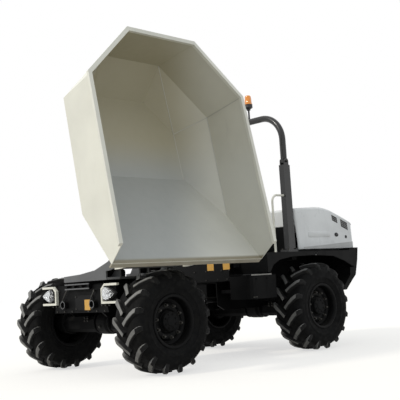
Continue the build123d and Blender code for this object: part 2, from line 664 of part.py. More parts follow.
def make_rear_chassis():
    t = CHASSIS_PLATE
    half = REAR_FRAME_HALF
    side = [(JOINT_X, 900), (JOINT_X, 620), (JOINT_X - 110, REAR_FRAME_Z0), (-2200, REAR_FRAME_Z0), (-2260, 620),
            (-2680, 620), (-2740, REAR_FRAME_Z0), (-3100, REAR_FRAME_Z0), (-3280, 700), (-3280, DECK_Z - 10), (-2030, DECK_Z - 10), (-2030, 900)]
    shape = both_sides(side_prism(side, half - t, half))
    shape += box(JOINT_X - t, JOINT_X, -150, 150, REAR_FRAME_Z0, 900)
    shape += box(JOINT_X - 200, JOINT_X - 110, -half + t, half - t, REAR_FRAME_Z0, REAR_FRAME_Z0 + t)
    shape += box(JOINT_X - 120, JOINT_X, -150, 150, REAR_FRAME_Z0, REAR_FRAME_Z0 + t)
    shape += box(-2030, JOINT_X, -half + t, half - t, 900 - t, 900)
    shape += box(-3280, -3280 + t, -half + t, half - t, 700, DECK_Z - 10)
    shape += box(-2030 - t, -2030, -half + t, half - t, 700, DECK_Z - 10)
    for y in (-150.0, 134.0):
        shape += box(JOINT_X - 200, JOINT_X - 16, y, y + t, REAR_FRAME_Z0, 900 - t)
    for x in (-2345.0, -3240.0):
        shape += box(x, x + 90, half, 830, 1120, DECK_Z - 10)
        shape += box(x, x + 90, -830, -half, 1120, DECK_Z - 10)
    for x in (-2740.0, -3160.0):
        shape += box(x, x + 60, half - t - ENGINE_GAP, half - t, 800, 830)
        shape += box(x, x + 60, t - half, t - half + ENGINE_GAP, 800, 830)
    for z in (STEER_Z - 50, STEER_Z + 34):
        lug = box(STEER_FOOT[0] - 40, STEER_FOOT[0] + 36, STEER_FOOT[1] - 30, half - t, z, z + 16)
        shape += lug
    shape += upright(STEER_FOOT[0], STEER_FOOT[1], STEER_PIN_R, STEER_Z - 50, STEER_Z + 50)
    return shape


add("rear_chassis", make_rear_chassis())
add("engine_block", box(-3250, -2640, -ENGINE_HALF, ENGINE_HALF, 640, 1500))

FOOT_X0 = -1990.0
FOOT_X1 = -1372.0
FOOT_HALF = 485.0


def make_footwell():
    floor = box(FOOT_X0, FOOT_X1, -FOOT_HALF, FOOT_HALF, 900, 912)
    floor += box(FOOT_X1, FOOT_X1 + 12, -590, 590, 908, 1190)
    for s in (-1, 1):
        y0, y1 = sorted((s * FOOT_HALF, s * (FOOT_HALF + 10)))
        floor += box(FOOT_X0, FOOT_X1, y0, y1, 900, DECK_Z - 12)
    floor += box(FOOT_X0 - 12, FOOT_X0, -FOOT_HALF - 10, FOOT_HALF + 10, 900, DECK_Z)
    return floor


add("footwell", make_footwell())

fender_edge = [(DECK_X0, DECK_Z), (DECK_X0, 985), (-1575, 985), (-1640, 1070), (-1760, 1125), (-1980, 1156), (-2400, 1166),
               (-2800, 1150), (-3050, 1078), (-3200, 1010), (DECK_X1, 990), (DECK_X1, DECK_Z)]
fender_hollow = [(DECK_X0 - 10, DECK_Z - 10), (DECK_X0 - 10, 900), (DECK_X1 + 10, 900), (DECK_X1 + 10, DECK_Z - 10)]
for name, s in (("fender_left", 1), ("fender_right", -1)):
    y0, y1 = sorted((s * (FOOT_HALF + 12), s * DECK_HALF))
    fender = side_prism(fender_edge, y0, y1)
    y0, y1 = sorted((s * (FOOT_HALF - 10), s * (DECK_HALF - 10)))
    fender -= side_prism(fender_hollow, y0, y1)
    add(name, fender)

centre_deck = box(-2374, FOOT_X0 - 12, -FOOT_HALF - 10, FOOT_HALF + 10, DECK_Z - 10, DECK_Z)
nodes["footwell"] = nodes["footwell"] + centre_deck

bay = box(-3276, -2374, -838, 838, DECK_Z, BONNET_Z0 - SEAL_GAP)
bay -= box(-3264, -2386, -826, 826, DECK_Z - 1, BONNET_Z0)
bay += box(-2380, -2370, -700, 700, BONNET_Z0 - 30, FIREWALL_Z)
hinge_x, hinge_z = BONNET_HINGE
for s in (-1, 1):
    # arms and pins that the bonnet lifts on
    y0, y1 = sorted((s * 300, s * 380))
    bay += box(hinge_x + 6, -2370, y0, y1, FIREWALL_Z - 4, hinge_z - 3)
    bay += across(hinge_x, hinge_z, HINGE_PIN_R, y0, y1)
add("engine_bay", bay)


def plan_level(z, rear, corner_x, side_x, front_x, side_y):
    half = [(front_x, side_y, z), (side_x, side_y, z), (corner_x, 850, z), (rear, 700, z)]
    return half + [(x, -y, z) for x, y, z in reversed(half)]


weight = through([
    plan_level(BONNET_Z0 - SEAL_GAP, -3660, -3610, -3480, -3280, 962),
    plan_level(1090, -3640, -3590, -3455, -3280, 960),
    plan_level(890, -3590, -3540, -3400, -3280, 955),
])
lower = through([
    plan_level(890, -3590, -3540, -3400, -3280, 955),
    plan_level(700, -3370, -3322, -3200, -3120, 925),
])
weight = weight + lower
weight -= box(-3280, -3000, -REAR_FRAME_HALF, REAR_FRAME_HALF, 600, BONNET_Z0)
add("counterweight", weight)

for name, s in (("tail_lamp_left", 1), ("tail_lamp_right", -1)):
    lamp = box(-3672, -3600, s * 560 - 90, s * 560 + 90, 1130, 1202)
    add(name, lamp - weight)

jaw = box(-3440, -3285, -120, 120, 616, 700)
jaw -= box(-3500, -3340, -121, 121, 642, 674)
jaw -= upright(-3392, 0, 16, 600, 710)
add("tow_jaw", jaw)

for name, s in (("tank_left", 1), ("tank_right", -1)):
    front = TANK_X0
    outline = [(front - 12, s * TANK_Y0), (front, s * (TANK_Y0 + 12)), (front, s * (TANK_Y1 - 50)), (front - 18, s * (TANK_Y1 - 17)),
               (front - 55, s * TANK_Y1), (TANK_X1, s * TANK_Y1), (TANK_X1, s * TANK_Y0)]
    tank = plan_prism(outline, TANK_Z0, TANK_Z1)
    bracket = box(-1760, -1460, *sorted((s * REAR_FRAME_HALF, s * (TANK_Y0 + 2))), 760, 800)
    tread = box(-1730, -1375, *sorted((s * 760, s * (TANK_Y1 - 4))), TANK_Z1 - 1, TANK_Z1 + TREAD_H)
    add(name, fuse(tank, bracket, tread))

console = side_prism([(-1672, 912), (-1672, 1780), (-1700, 1830), (-1820, 1790), (-1832, 1730), (-1790, 1500), (-1790, 912)], -200, 200)
add("console", console)

WHEEL_X = -1872.0
WHEEL_Z = 1930.0
WHEEL_TILT = 24.0
grip = drum([(-13, 180), (-6, 192), (6, 192), (13, 180)], 24)
grip -= drum([(-14, 181), (-6, 168), (6, 168), (14, 181)], 24)
wheel = grip.rotate(Axis.X, 90)
wheel += upright(0, 0, 34, -22, 16)
for turn in (90, 210, 330):
    spoke = box(20, 172, -14, 14, -5, 5).rotate(Axis.Z, turn)
    wheel += spoke
wheel += upright(0, 0, 22, -150, -10)
add("steering_wheel", wheel.rotate(Axis.Y, -WHEEL_TILT).translate(Vector(WHEEL_X, 0, WHEEL_Z)) - console)

add("seat_base", side_prism([(-2000, DECK_Z), (-2020, 1420), (-2330, 1420), (-2340, DECK_Z)], -210, 210))
cushion = side_prism([(-1930, 1420.3), (-1925, 1520), (-2240, 1505), (-2262, 1540), (-2300, 1900), (-2340, 1910), (-2348, 1880),
                      (-2325, 1420.3)], -235, 235)
add("seat", cushion)


# ---------------------------------------------------------------- roll-over frame
CHEEK_R = 40.0
FOLD_PIN_R = 14.0
for name, s in (("rops_post_left", 1), ("rops_post_right", -1)):
    y = s * POST_Y
    post = box(POST_X - POST_LX / 2, POST_X + POST_LX / 2, y - POST_LY / 2, y + POST_LY / 2, POST_FOOT_Z, FOLD_Z - 46)
    post += box(POST_X - 72, POST_X + 110, y - 68, y + 68, DECK_Z, POST_FOOT_Z)
    for y0 in (y - POST_LY / 2, y + POST_LY / 2 - 14):
        post += across(POST_X, FOLD_Z, CHEEK_R, y0, y0 + 14)
        post += box(POST_X - CHEEK_R, POST_X + CHEEK_R, y0, y0 + 14, FOLD_Z - 47, FOLD_Z)
    post += across(POST_X, FOLD_Z, FOLD_PIN_R, y - POST_LY / 2 - 12, y + POST_LY / 2 + 12)
    add(name, post)

hoop = rod((POST_X, -POST_Y + HOOP_BEND_R, HOOP_TOP_Z), (POST_X, POST_Y - HOOP_BEND_R, HOOP_TOP_Z), HOOP_R)
for s in (-1, 1):
    y = s * POST_Y
    hoop += rod((POST_X, y, FOLD_Z + 52), (POST_X, y, HOOP_TOP_Z - HOOP_BEND_R), HOOP_R)
    circle = Face(Wire.make_circle(HOOP_R, Plane((POST_X, y, HOOP_TOP_Z - HOOP_BEND_R))))
    bend_axis = Axis((POST_X, s * (POST_Y - HOOP_BEND_R), HOOP_TOP_Z - HOOP_BEND_R), (s, 0, 0))
    hoop += Solid.revolve(circle, 90, bend_axis)
    tongue = across(POST_X, FOLD_Z, CHEEK_R - 2, y - 19, y + 19)
    tongue += box(POST_X - CHEEK_R + 2, POST_X + CHEEK_R - 2, y - 19, y + 19, FOLD_Z, FOLD_Z + 60)
    tongue -= across(POST_X, FOLD_Z, FOLD_PIN_R + RUN_GAP, y - 30, y + 30)
    hoop += tongue
stalk_z = HOOP_TOP_Z + HOOP_R
base_z = stalk_z + BEACON_STALK
hoop += upright(POST_X, BEACON_Y, 12, HOOP_TOP_Z, base_z)
add("rops_hoop", hoop)
add("beacon_base", upright(POST_X, BEACON_Y, BEACON_R + 4, base_z, base_z + BEACON_BASE_H))
lens = Solid.make_cone(BEACON_R, BEACON_R - 10, BEACON_H, Plane((POST_X, BEACON_Y, base_z + BEACON_BASE_H)))
add("beacon_lens", lens)

# grab rail from the deck, beside the step, back to the left post
rail_top = RAIL_BEND_Z + RAIL_BEND_R
grab = rod((RAIL_X, POST_Y, DECK_Z), (RAIL_X, POST_Y, RAIL_BEND_Z), GRAB_R)
circle = Face(Wire.make_circle(GRAB_R, Plane((RAIL_X, POST_Y, RAIL_BEND_Z))))
grab += Solid.revolve(circle, 90, Axis((RAIL_X - RAIL_BEND_R, POST_Y, RAIL_BEND_Z), (0, -1, 0)))
grab += rod((RAIL_X - RAIL_BEND_R, POST_Y, rail_top), (POST_X + POST_LX / 2, POST_Y, rail_top), GRAB_R)
grab += upright(RAIL_X, POST_Y, 34, DECK_Z, DECK_Z + 8)
add("grab_rail", grab)

# ---------------------------------------------------------------- bonnet
BONNET_TOP = [(BONNET_X0, 1775), (-2900, 1806), (-3110, 1777), (-3470, 1647), (-3650, 1566), (-3712, 1359), (-3712, BONNET_Z0),
              (BONNET_X0, BONNET_Z0)]


def bonnet_solid(t):
    """The bonnet's outside moved in by t, open through the underside when t is not 0."""
    top = [(x, z) for x, z in BONNET_TOP]
    if t:
        top = [(BONNET_X0 - t, 1775 - t), (-2900, 1806 - t), (-3110 + t / 4, 1777 - t), (-3470 + t / 3, 1647 - t),
               (-3650 + t, 1566 - t / 2), (-3712 + t, 1359), (-3712 + t, BONNET_Z0 - 100), (BONNET_X0 - t, BONNET_Z0 - 100)]
    side = side_prism(top, -BONNET_HALF - 50, BONNET_HALF + 50)
    h = BONNET_HALF - t
    k = BONNET_TOP_HALF - t
    front = [(-h, BONNET_Z0 - 200), (h, BONNET_Z0 - 200), (h, 1350), (k, 1900), (-k, 1900), (-h, 1350)]
    rear = BONNET_TOP[-2][0] + t
    edge = BONNET_HALF + 100
    plan = [(-2000, edge), (BONNET_CORNER_X + edge - BONNET_HALF, edge), (BONNET_CORNER_X, h), (rear, BONNET_REAR_HALF),
            (rear, -BONNET_REAR_HALF), (BONNET_CORNER_X, -h), (BONNET_CORNER_X + edge - BONNET_HALF, -edge), (-2000, -edge)]
    return side & front_prism(front, -3800, -2000) & plan_prism(plan, 1000, 2000)


bonnet = bonnet_solid(0) - bonnet_solid(BONNET_WALL)
# its front is open below the firewall's top, and notched round the hinge pins
bonnet -= box(BONNET_X0 - BONNET_WALL - 1, BONNET_X0 + 1, -BONNET_HALF + BONNET_WALL, BONNET_HALF - BONNET_WALL,
              BONNET_Z0 - 1, FIREWALL_Z + 6)
for y in (-340.0, 340.0):
    bonnet -= across(hinge_x, hinge_z, HINGE_PIN_R + 5, y - 46, y + 46)
    bonnet -= box(hinge_x - 20, hinge_x + 20, y - 46, y + 46, hinge_z, hinge_z + 40)
add("bonnet_shell", bonnet)
add("bonnet_handle", box(-3275, -3185, BONNET_HALF - 7, BONNET_HALF + 20, 1392, 1432) - bonnet_solid(0))

# ---------------------------------------------------------------- one origin for all: bottom centre of the machine
boxes = [shape.bounding_box() for shape in nodes.values()]
MOVE = Vector(
    -(min(b.min.X for b in boxes) + max(b.max.X for b in boxes)) / 2,
    -(min(b.min.Y for b in boxes) + max(b.max.Y for b in boxes)) / 2,
    -min(b.min.Z for b in boxes),
)
os.makedirs("parts", exist_ok=True)
for name, shape in nodes.items():
    solids = shape.solids()
    if len(solids) != 1:
        print("SOLIDS", name, len(solids))
    export_step(solids[0].translate(MOVE), "parts/" + name + ".step")
print("nodes", len(nodes), "moved by", MOVE)
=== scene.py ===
# Looks of an articulated site dumper with a swivel skip. Metres, in the frame of the CAD model:
# +X is the machine's front, +Y its left side, +Z up.
from math import cos, hypot, pi, radians, sin, sqrt

import bmesh
import bpy
from mathutils import Matrix, Vector


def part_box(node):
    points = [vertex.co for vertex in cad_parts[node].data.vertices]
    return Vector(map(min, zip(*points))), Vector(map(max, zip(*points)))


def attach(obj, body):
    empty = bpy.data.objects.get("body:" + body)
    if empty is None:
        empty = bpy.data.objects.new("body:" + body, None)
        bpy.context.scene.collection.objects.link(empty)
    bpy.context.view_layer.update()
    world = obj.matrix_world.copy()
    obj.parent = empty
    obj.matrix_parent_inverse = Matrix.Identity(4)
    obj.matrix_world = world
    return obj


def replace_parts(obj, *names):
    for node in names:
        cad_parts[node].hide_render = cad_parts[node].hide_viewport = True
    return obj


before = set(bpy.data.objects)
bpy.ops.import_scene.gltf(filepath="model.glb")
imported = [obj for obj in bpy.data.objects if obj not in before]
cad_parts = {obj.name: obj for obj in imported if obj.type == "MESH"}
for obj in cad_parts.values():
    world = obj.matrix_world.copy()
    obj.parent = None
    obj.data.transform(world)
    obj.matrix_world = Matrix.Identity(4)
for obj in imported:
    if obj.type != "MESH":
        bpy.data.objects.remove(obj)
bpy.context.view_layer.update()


# ---------------- places read from the frame
def box_of(node):
    return [Vector(corner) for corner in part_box(node)]


def middle(node):
    return Vector([(a + b) / 2 for a, b in zip(*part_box(node))])


WHEELS = ("front_left", "front_right", "rear_left", "rear_right")
SIDES = (("left", 1), ("right", -1))
FRONT = "front_body"
REAR = "rear_body"
ALONG = (1, 0, 0)
ACROSS = (0, 1, 0)
UP = (0, 0, 1)
tyre_low, tyre_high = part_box("tyre_front_left")
TYRE_R = (tyre_high[2] - tyre_low[2]) / 2
TYRE_HALF = (tyre_high[1] - tyre_low[1]) / 2
SLEW_X = -0.044            # slewing axis, and the skip's own middle line when it is stored
# the machine's own zero: on the ground under the middle of the front axle
ZERO = Vector((*middle("front_axle").xy, 0.0))


def at(x, y, z):
    """A point given from the machine's own zero."""
    return ZERO + Vector((x, y, z))


def mm(*pairs):
    """Pairs of numbers given in millimetres."""
    return [(a / 1000, b / 1000) for a, b in pairs]


def outside(node, side):
    """A node's outermost Y on one side."""
    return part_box(node)[1 if side > 0 else 0][1]


def reach_of(node, side):
    """How far a node reaches out from the machine's middle on one side."""
    return side * (outside(node, side) - ZERO.y)


# ---------------- materials
class Nodes:
    """The node tree of a material or a world, with short ways to add to it."""

    def __init__(self, owner):
        owner.use_nodes = True
        self.tree = owner.node_tree
        self.tree.nodes.clear()

    def feed(self, socket, value):
        """Joins an output to a socket, or sets the socket to a number, a direction or a colour."""
        if isinstance(value, bpy.types.NodeSocket):
            self.tree.links.new(value, socket)
            return
        if socket.type == "RGBA":
            value = (*value, 1.0)
        socket.default_value = value

    def add(self, kind, inputs=(), **settings):
        node = self.tree.nodes.new(kind)
        for key, value in settings.items():
            setattr(node, key, value)
        for key, value in dict(inputs).items():
            self.feed(node.inputs[key], value)
        return node

    def math(self, operation, *values):
        return self.add("ShaderNodeMath", enumerate(values), operation=operation).outputs[0]


class Finish(Nodes):
    """A material with one shader, and the patterns that the finishes share."""

    def __init__(self, name):
        self.material = bpy.data.materials.new(name)
        super().__init__(self.material)
        self.shader = self.add("ShaderNodeBsdfPrincipled")
        self.add("ShaderNodeOutputMaterial", {"Surface": self.shader.outputs["BSDF"]})
        places = self.add("ShaderNodeTexCoord")
        self.coords = places.outputs["Object"]
        self.normal = places.outputs["Normal"]

    def set(self, inputs):
        for key, value in inputs.items():
            self.feed(self.shader.inputs[key], value)

    def noise(self, scale, detail=4.0, rough=0.55, stretch=None):
        source = self.coords
        if stretch:
            source = self.add("ShaderNodeMapping", {"Vector": source, "Scale": stretch}).outputs["Vector"]
        inputs = {"Vector": source, "Scale": scale, "Detail": detail, "Roughness": rough}
        return self.add("ShaderNodeTexNoise", inputs).outputs["Fac"]

    def step(self, value, low, high, out_low=0.0, out_high=1.0):
        inputs = {"Value": value, "From Min": low, "From Max": high, "To Min": out_low, "To Max": out_high}
        return self.add("ShaderNodeMapRange", inputs, interpolation_type="SMOOTHSTEP").outputs["Result"]

    def mix(self, fac, a, b):
        """Colours a to b by fac; a and b are colours or outputs."""
        return self.add("ShaderNodeMix", {0: fac, 6: a, 7: b}, data_type="RGBA").outputs[2]

    def dot(self, a, b):
        return self.add("ShaderNodeVectorMath", {0: a, 1: b}, operation="DOT_PRODUCT").outputs["Value"]

    def part(self, vector, axis):
        return self.add("ShaderNodeSeparateXYZ", {0: vector}).outputs[axis]

    def up(self):
        """1 where the surface faces up, 0 where it is upright or faces down."""
        return self.step(self.part(self.add("ShaderNodeNewGeometry").outputs["Normal"], "Z"), 0.25, 0.95)

    def faces_along_y(self):
        """1 where the surface faces along the piece's own Y axis, 0 where it is square to that."""
        return self.step(self.math("ABSOLUTE", self.part(self.normal, "Y")), 0.22, 0.62)

    def mottled(self, scale, detail, a, b):
        return self.mix(self.step(self.noise(scale, detail), 0.35, 0.7), a, b)

    def rough(self, noise, low, high, most=0.7):
        self.set({"Roughness": self.step(noise, 0.3, most, low, high)})

    def bump(self, height, strength, distance):
        inputs = {"Strength": strength, "Distance": distance, "Height": height}
        self.set({"Normal": self.add("ShaderNodeBump", inputs).outputs["Normal"]})


def scaled(color, factor):
    return tuple(min(1.0, c * factor) for c in color)


def paint(name, color, rough=0.35, dust=0.25, dust_color=(0.34, 0.31, 0.25), coat=0.3, grime=0.35, shine=0.5):
    """Sprayed gloss paint: slight orange peel, faded and grimy patches, dust on what faces up."""
    t = Finish(name)
    broad = t.step(t.noise(1.7, 3), 0.38, 0.68)
    base = t.mix(broad, scaled(color, 1.04), scaled(color, 0.9))
    streaks = t.step(t.noise(9.0, 6, 0.6, (1.0, 1.0, 0.18)), 0.56, 0.8, 0.0, grime)
    base = t.mix(streaks, base, scaled(color, 0.62))
    powder = t.math("MULTIPLY", t.up(), t.step(t.noise(14.0, 7, 0.65), 0.4, 0.75, 0.15, dust))
    t.set({"Base Color": t.mix(powder, base, dust_color), "Specular IOR Level": shine, "Coat Weight": coat,
           "Coat Roughness": 0.12})
    t.rough(t.noise(6.0, 5), rough - 0.05, rough + 0.16, 0.75)
    t.bump(t.noise(420.0, 2), 0.12, 0.0006)
    return t.material


SKIP_MIDDLE = at(SLEW_X, 0.95, 2.20)
UPPER_SHADE_TINT = (0.445, 0.408, 0.290)      # painted shade with a warm painted reflection, towards the top
# painted shade: the inside's grey, though it has the same paint as the outside
INSIDE_SHADE_TINT = (0.415, 0.425, 0.405)
LIP_TINT = (0.27, 0.24, 0.165)
# heights over which the painted shade turns browner
UPPER_SHADE_HEIGHTS = (2.05, 2.60)
LIP_HEIGHTS = (1.152, 1.180)
LIT_SIDE = (-0.714, 0.692, 0.0)       # the way in which painted light makes the inside lighter
LIT_RANGE = (-0.42, 0.22)


def inside_painted_shade(t, color):
    """Outside the skip, a colour. Inside, as told by normals that point to its middle, painted shade: grey,
    browner towards the top as a painted warm reflection, lighter towards one side as painted light, and darker
    below the lip."""
    inward = t.add("ShaderNodeVectorMath", {0: SKIP_MIDDLE, 1: t.coords}, operation="SUBTRACT").outputs[0]
    inside = t.step(t.dot(inward, t.normal), -0.02, 0.06)
    height = t.part(t.coords, "Z")
    # painted shade, browner towards the top as a painted reflection of the warm ground
    tint = t.mix(t.step(height, *UPPER_SHADE_HEIGHTS), INSIDE_SHADE_TINT, UPPER_SHADE_TINT)
    # painted light, lighter towards one side
    tint = t.mix(t.step(t.dot(t.coords, LIT_SIDE), *LIT_RANGE, 0.0, 0.8), tint, scaled(color, 0.92))
    # darker below the lip's height
    tint = t.mix(t.step(height, *LIP_HEIGHTS, 1.0, 0.0), tint, LIP_TINT)
    return t.mix(inside, color, tint)


def worn_skip(name, color, steel, amount, shaded_inside=False):
    """Paint on a skip, rubbed through in streaks towards the lip, with dry spoil in patches."""
    t = Finish(name)
    broad = t.step(t.noise(1.3, 3), 0.36, 0.7)
    base = t.mix(broad, scaled(color, 1.03), scaled(color, 0.9))
    # inside the skip, painted shade and painted light instead of the plain colour
    if shaded_inside:
        base = t.mix(broad, inside_painted_shade(t, scaled(color, 1.03)), inside_painted_shade(t, scaled(color, 0.92)))
    rub = t.step(t.noise(7.0, 8, 0.68, (1.0, 1.0, 0.25)), 0.6, 0.76, 0.0, amount)
    spots = t.step(t.noise(38.0, 6, 0.7), 0.66, 0.78, 0.0, amount)
    t.set({"Base Color": t.mix(spots, t.mix(rub, base, steel), (0.30, 0.26, 0.20)), "Coat Weight": 0.06})
    t.rough(t.noise(11.0, 6), 0.42, 0.66, 0.75)
    t.bump(t.noise(60.0, 6), 0.22, 0.0012)
    return t.material


def rubber(name, color, dust_color, dusty, shine, side_color=None):
    """Tyre rubber with fine grain and dry dust; side_color is left on what faces along the wheel's axis."""
    t = Finish(name)
    dust = t.step(t.noise(16.0, 7, 0.68), 0.42, 0.78, 0.0, dusty)
    base = t.mix(dust, t.mottled(3.0, 3, color, scaled(color, 1.5)), dust_color)
    if side_color:
        base = t.mix(t.faces_along_y(), base, side_color)
    t.set({"Base Color": base, "Specular IOR Level": shine})
    t.rough(t.noise(22.0, 5), 0.62, 0.86)
    t.bump(t.noise(260.0, 5), 0.35, 0.0008)
    return t.material


def plastic(name, color, rough=0.5):
    """Moulded plastic with a fine even grain."""
    t = Finish(name)
    t.set({"Base Color": t.mottled(5.0, 4, color, scaled(color, 1.35))})
    t.rough(t.noise(30.0, 4), rough - 0.07, rough + 0.1)
    t.bump(t.noise(300.0, 3), 0.3, 0.0005)
    return t.material


def metal(name, color, rough=0.25, scratch=0.08):
    """Bare or plated metal with fine turning marks."""
    t = Finish(name)
    t.set({"Base Color": t.mottled(12.0, 5, color, scaled(color, 0.8)), "Metallic": 1.0})
    t.rough(t.noise(90.0, 4, 0.6, (1.0, 1.0, 8.0)), rough - scratch, rough + scratch)
    t.bump(t.noise(700.0, 2), 0.1, 0.0002)
    return t.material


def lens(name, color, glow=0.0):
    """Clear or coloured moulded lens over a prismatic back."""
    t = Finish(name)
    t.set({"Base Color": t.mottled(40.0, 3, color, scaled(color, 0.8)), "Roughness": 0.08,
           "Transmission Weight": 0.25, "Coat Weight": 0.8, "Coat Roughness": 0.05})
    if glow:
        t.set({"Emission Color": color, "Emission Strength": glow})
    t.bump(t.noise(150.0, 2), 0.15, 0.0006)
    return t.material


def glass(name):
    """Clear moulded cover that lets the light through nearly straight."""
    t = Finish(name)
    t.set({"Base Color": t.mottled(60.0, 2, (0.97, 0.98, 0.98), (0.9, 0.92, 0.93)), "Roughness": 0.04,
           "IOR": 1.12, "Transmission Weight": 0.96, "Coat Weight": 0.4, "Coat Roughness": 0.03})
    return t.material


def vinyl(name, color):
    """Seat vinyl: pebbled grain with a slight sheen."""
    t = Finish(name)
    cells = t.add("ShaderNodeTexVoronoi", {"Vector": t.coords, "Scale": 420.0})
    t.set({"Base Color": t.mottled(8.0, 4, color, scaled(color, 1.5)), "Sheen Weight": 0.2})
    t.rough(t.noise(40.0, 3), 0.42, 0.58)
    t.bump(cells.outputs["Distance"], 0.35, 0.0006)
    return t.material


CREAM = (0.78, 0.765, 0.67)
DUST = (0.05, 0.047, 0.04)
# each finish: its slot and its material
M = {
    "cream": ("cream_paint", paint("cream_paint", CREAM, 0.34, 0.2)),
    # the skip's paint, with painted shade and painted light inside
    "skip": ("cream_paint", worn_skip("skip_paint_and_painted_shade", CREAM, (0.34, 0.32, 0.29), 0.14, True)),
    "lip": ("cream_paint", worn_skip("lip_paint", (0.34, 0.31, 0.235), (0.26, 0.23, 0.17), 0.5)),
    "bonnet": ("grey_paint", paint("bonnet_paint", (0.72, 0.73, 0.725), 0.3, 0.3)),
    "skirt": ("grey_paint", paint("bonnet_skirt_paint", (0.46, 0.465, 0.455), 0.34, 0.3)),
    "dark": ("black_paint", paint("chassis_paint", (0.0062, 0.0063, 0.0066), 0.42, 0.1, DUST, 0.0, 0.2, 0.05)),
    "dark_worn": ("black_paint", paint("panel_paint", (0.0135, 0.0135, 0.014), 0.45, 0.16, (0.06, 0.056, 0.046),
                                       0.0, 0.3, 0.06)),
    "dark_grey": ("black_paint", paint("fender_paint", (0.0070, 0.0071, 0.0074), 0.42, 0.12, DUST,
                                       0.0, 0.2, 0.07)),
    "gloss_black": ("black_paint", paint("rollover_paint", (0.010, 0.0103, 0.0107), 0.26, 0.06,
                                         (0.08, 0.076, 0.064), 0.25, 0.2, 0.4)),
    "rim": ("rim_paint", paint("rim_paint", (0.0055, 0.0056, 0.0058), 0.38, 0.06, DUST, 0.0, 0.2, 0.07)),
    "cast": ("cast_black", paint("cast_paint", (0.0085, 0.0086, 0.0088), 0.55, 0.14, DUST, 0.0, 0.3, 0.06)),
    "frame": ("frame_paint", paint("slewing_frame_paint", (0.115, 0.117, 0.12), 0.42, 0.25,
                                   (0.14, 0.132, 0.112), 0.1, 0.3, 0.3)),
    "frame_light": ("frame_paint", paint("step_edge_paint", (0.30, 0.29, 0.27), 0.4, 0.2)),
    "skip_weld": ("cream_paint", paint("weld_paint", (0.56, 0.55, 0.49), 0.4, 0.2)),
    "yellow": ("cream_paint", paint("yellow_plate", (0.60, 0.32, 0.04), 0.4, 0.08)),
    "rubber": ("tyre", rubber("tyre_rubber", (0.0062, 0.0062, 0.0064), (0.020, 0.0195, 0.0175), 0.5, 0.06)),
    "lug": ("tyre", rubber("tyre_lug_rubber", (0.15, 0.148, 0.143), (0.27, 0.262, 0.24), 0.8, 0.2,
                           (0.0085, 0.0085, 0.0085))),
    "black_plastic": ("black_plastic", plastic("black_plastic", (0.022, 0.022, 0.024))),
    "vinyl": ("seat_vinyl", vinyl("seat_vinyl", (0.02, 0.02, 0.022))),
    "chrome": ("ram_chrome", metal("ram_chrome", (0.72, 0.72, 0.73), 0.14, 0.04)),
    "zinc": ("ram_chrome", metal("zinc_bolts", (0.58, 0.57, 0.53), 0.34)),
    "zinc_dull": ("ram_chrome", metal("dull_bolts", (0.075, 0.073, 0.068), 0.45)),
    "reflector": ("lamp_lens", metal("lamp_reflector", (0.85, 0.85, 0.86), 0.1, 0.03)),
    "glass": ("lamp_lens", glass("lamp_glass")),
    "clear": ("lamp_lens", lens("clear_lens", (0.86, 0.87, 0.88))),
    "amber": ("amber_lens", lens("amber_lens", (0.85, 0.30, 0.02), 0.12)),
    "red": ("red_lens", lens("red_lens", (0.50, 0.015, 0.012))),
}


# ---------------- mesh helpers
def new_object(name, data):
    obj = bpy.data.objects.new(name, data)
    bpy.context.collection.objects.link(obj)
    return obj


def dress(name, mesh, finish, body, smooth=False, bevel=0.0, segments=1, replaces=None):
    """Makes an object of a mesh; finish is one finish, or one for each tone of its faces."""
    obj = new_object(name, mesh)
    finishes = [finish] if isinstance(finish, str) else finish
    for each in finishes:
        mesh.materials.append(M[each][1])
    for poly in mesh.polygons:
        poly.use_smooth = smooth
    if bevel:
        soften(obj, bevel, segments)
    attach(obj, body)
    if replaces:
        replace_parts(obj, replaces)
    return obj


def flat_faces(obj):
    obj.modifiers.new("flat faces", "WEIGHTED_NORMAL").keep_sharp = True


def round_edges(obj, width, segments, angle):
    bevel = obj.modifiers.new("rounded edges", "BEVEL")
    bevel.width = width
    bevel.segments = segments
    bevel.limit_method = "ANGLE"
    bevel.angle_limit = radians(angle)
    return bevel


def soften(obj, width, segments, angle=28):
    """Rounded edges with smooth shading kept flat on the faces."""
    round_edges(obj, width, segments, angle)
    flat_faces(obj)
    for poly in obj.data.polygons:
        poly.use_smooth = True


def places(count, start=0.0):
    """Angles of evenly spaced places round a circle; start is a share of one space."""
    return [2 * pi * (i + start) / count for i in range(count)]


def circle(centre, side, other, r, count):
    return [centre + side * (r * cos(a)) + other * (r * sin(a)) for a in places(count)]


def spoke(angle):
    """A direction out from the Y axis."""
    return Vector((cos(angle), 0, sin(angle)))


def curve(start, corner, end, count):
    """Points from start to end, bent towards a corner."""
    steps = [i / count for i in range(count + 1)]
    return [start * (1 - t) ** 2 + corner * (2 * t * (1 - t)) + end * t ** 2 for t in steps]


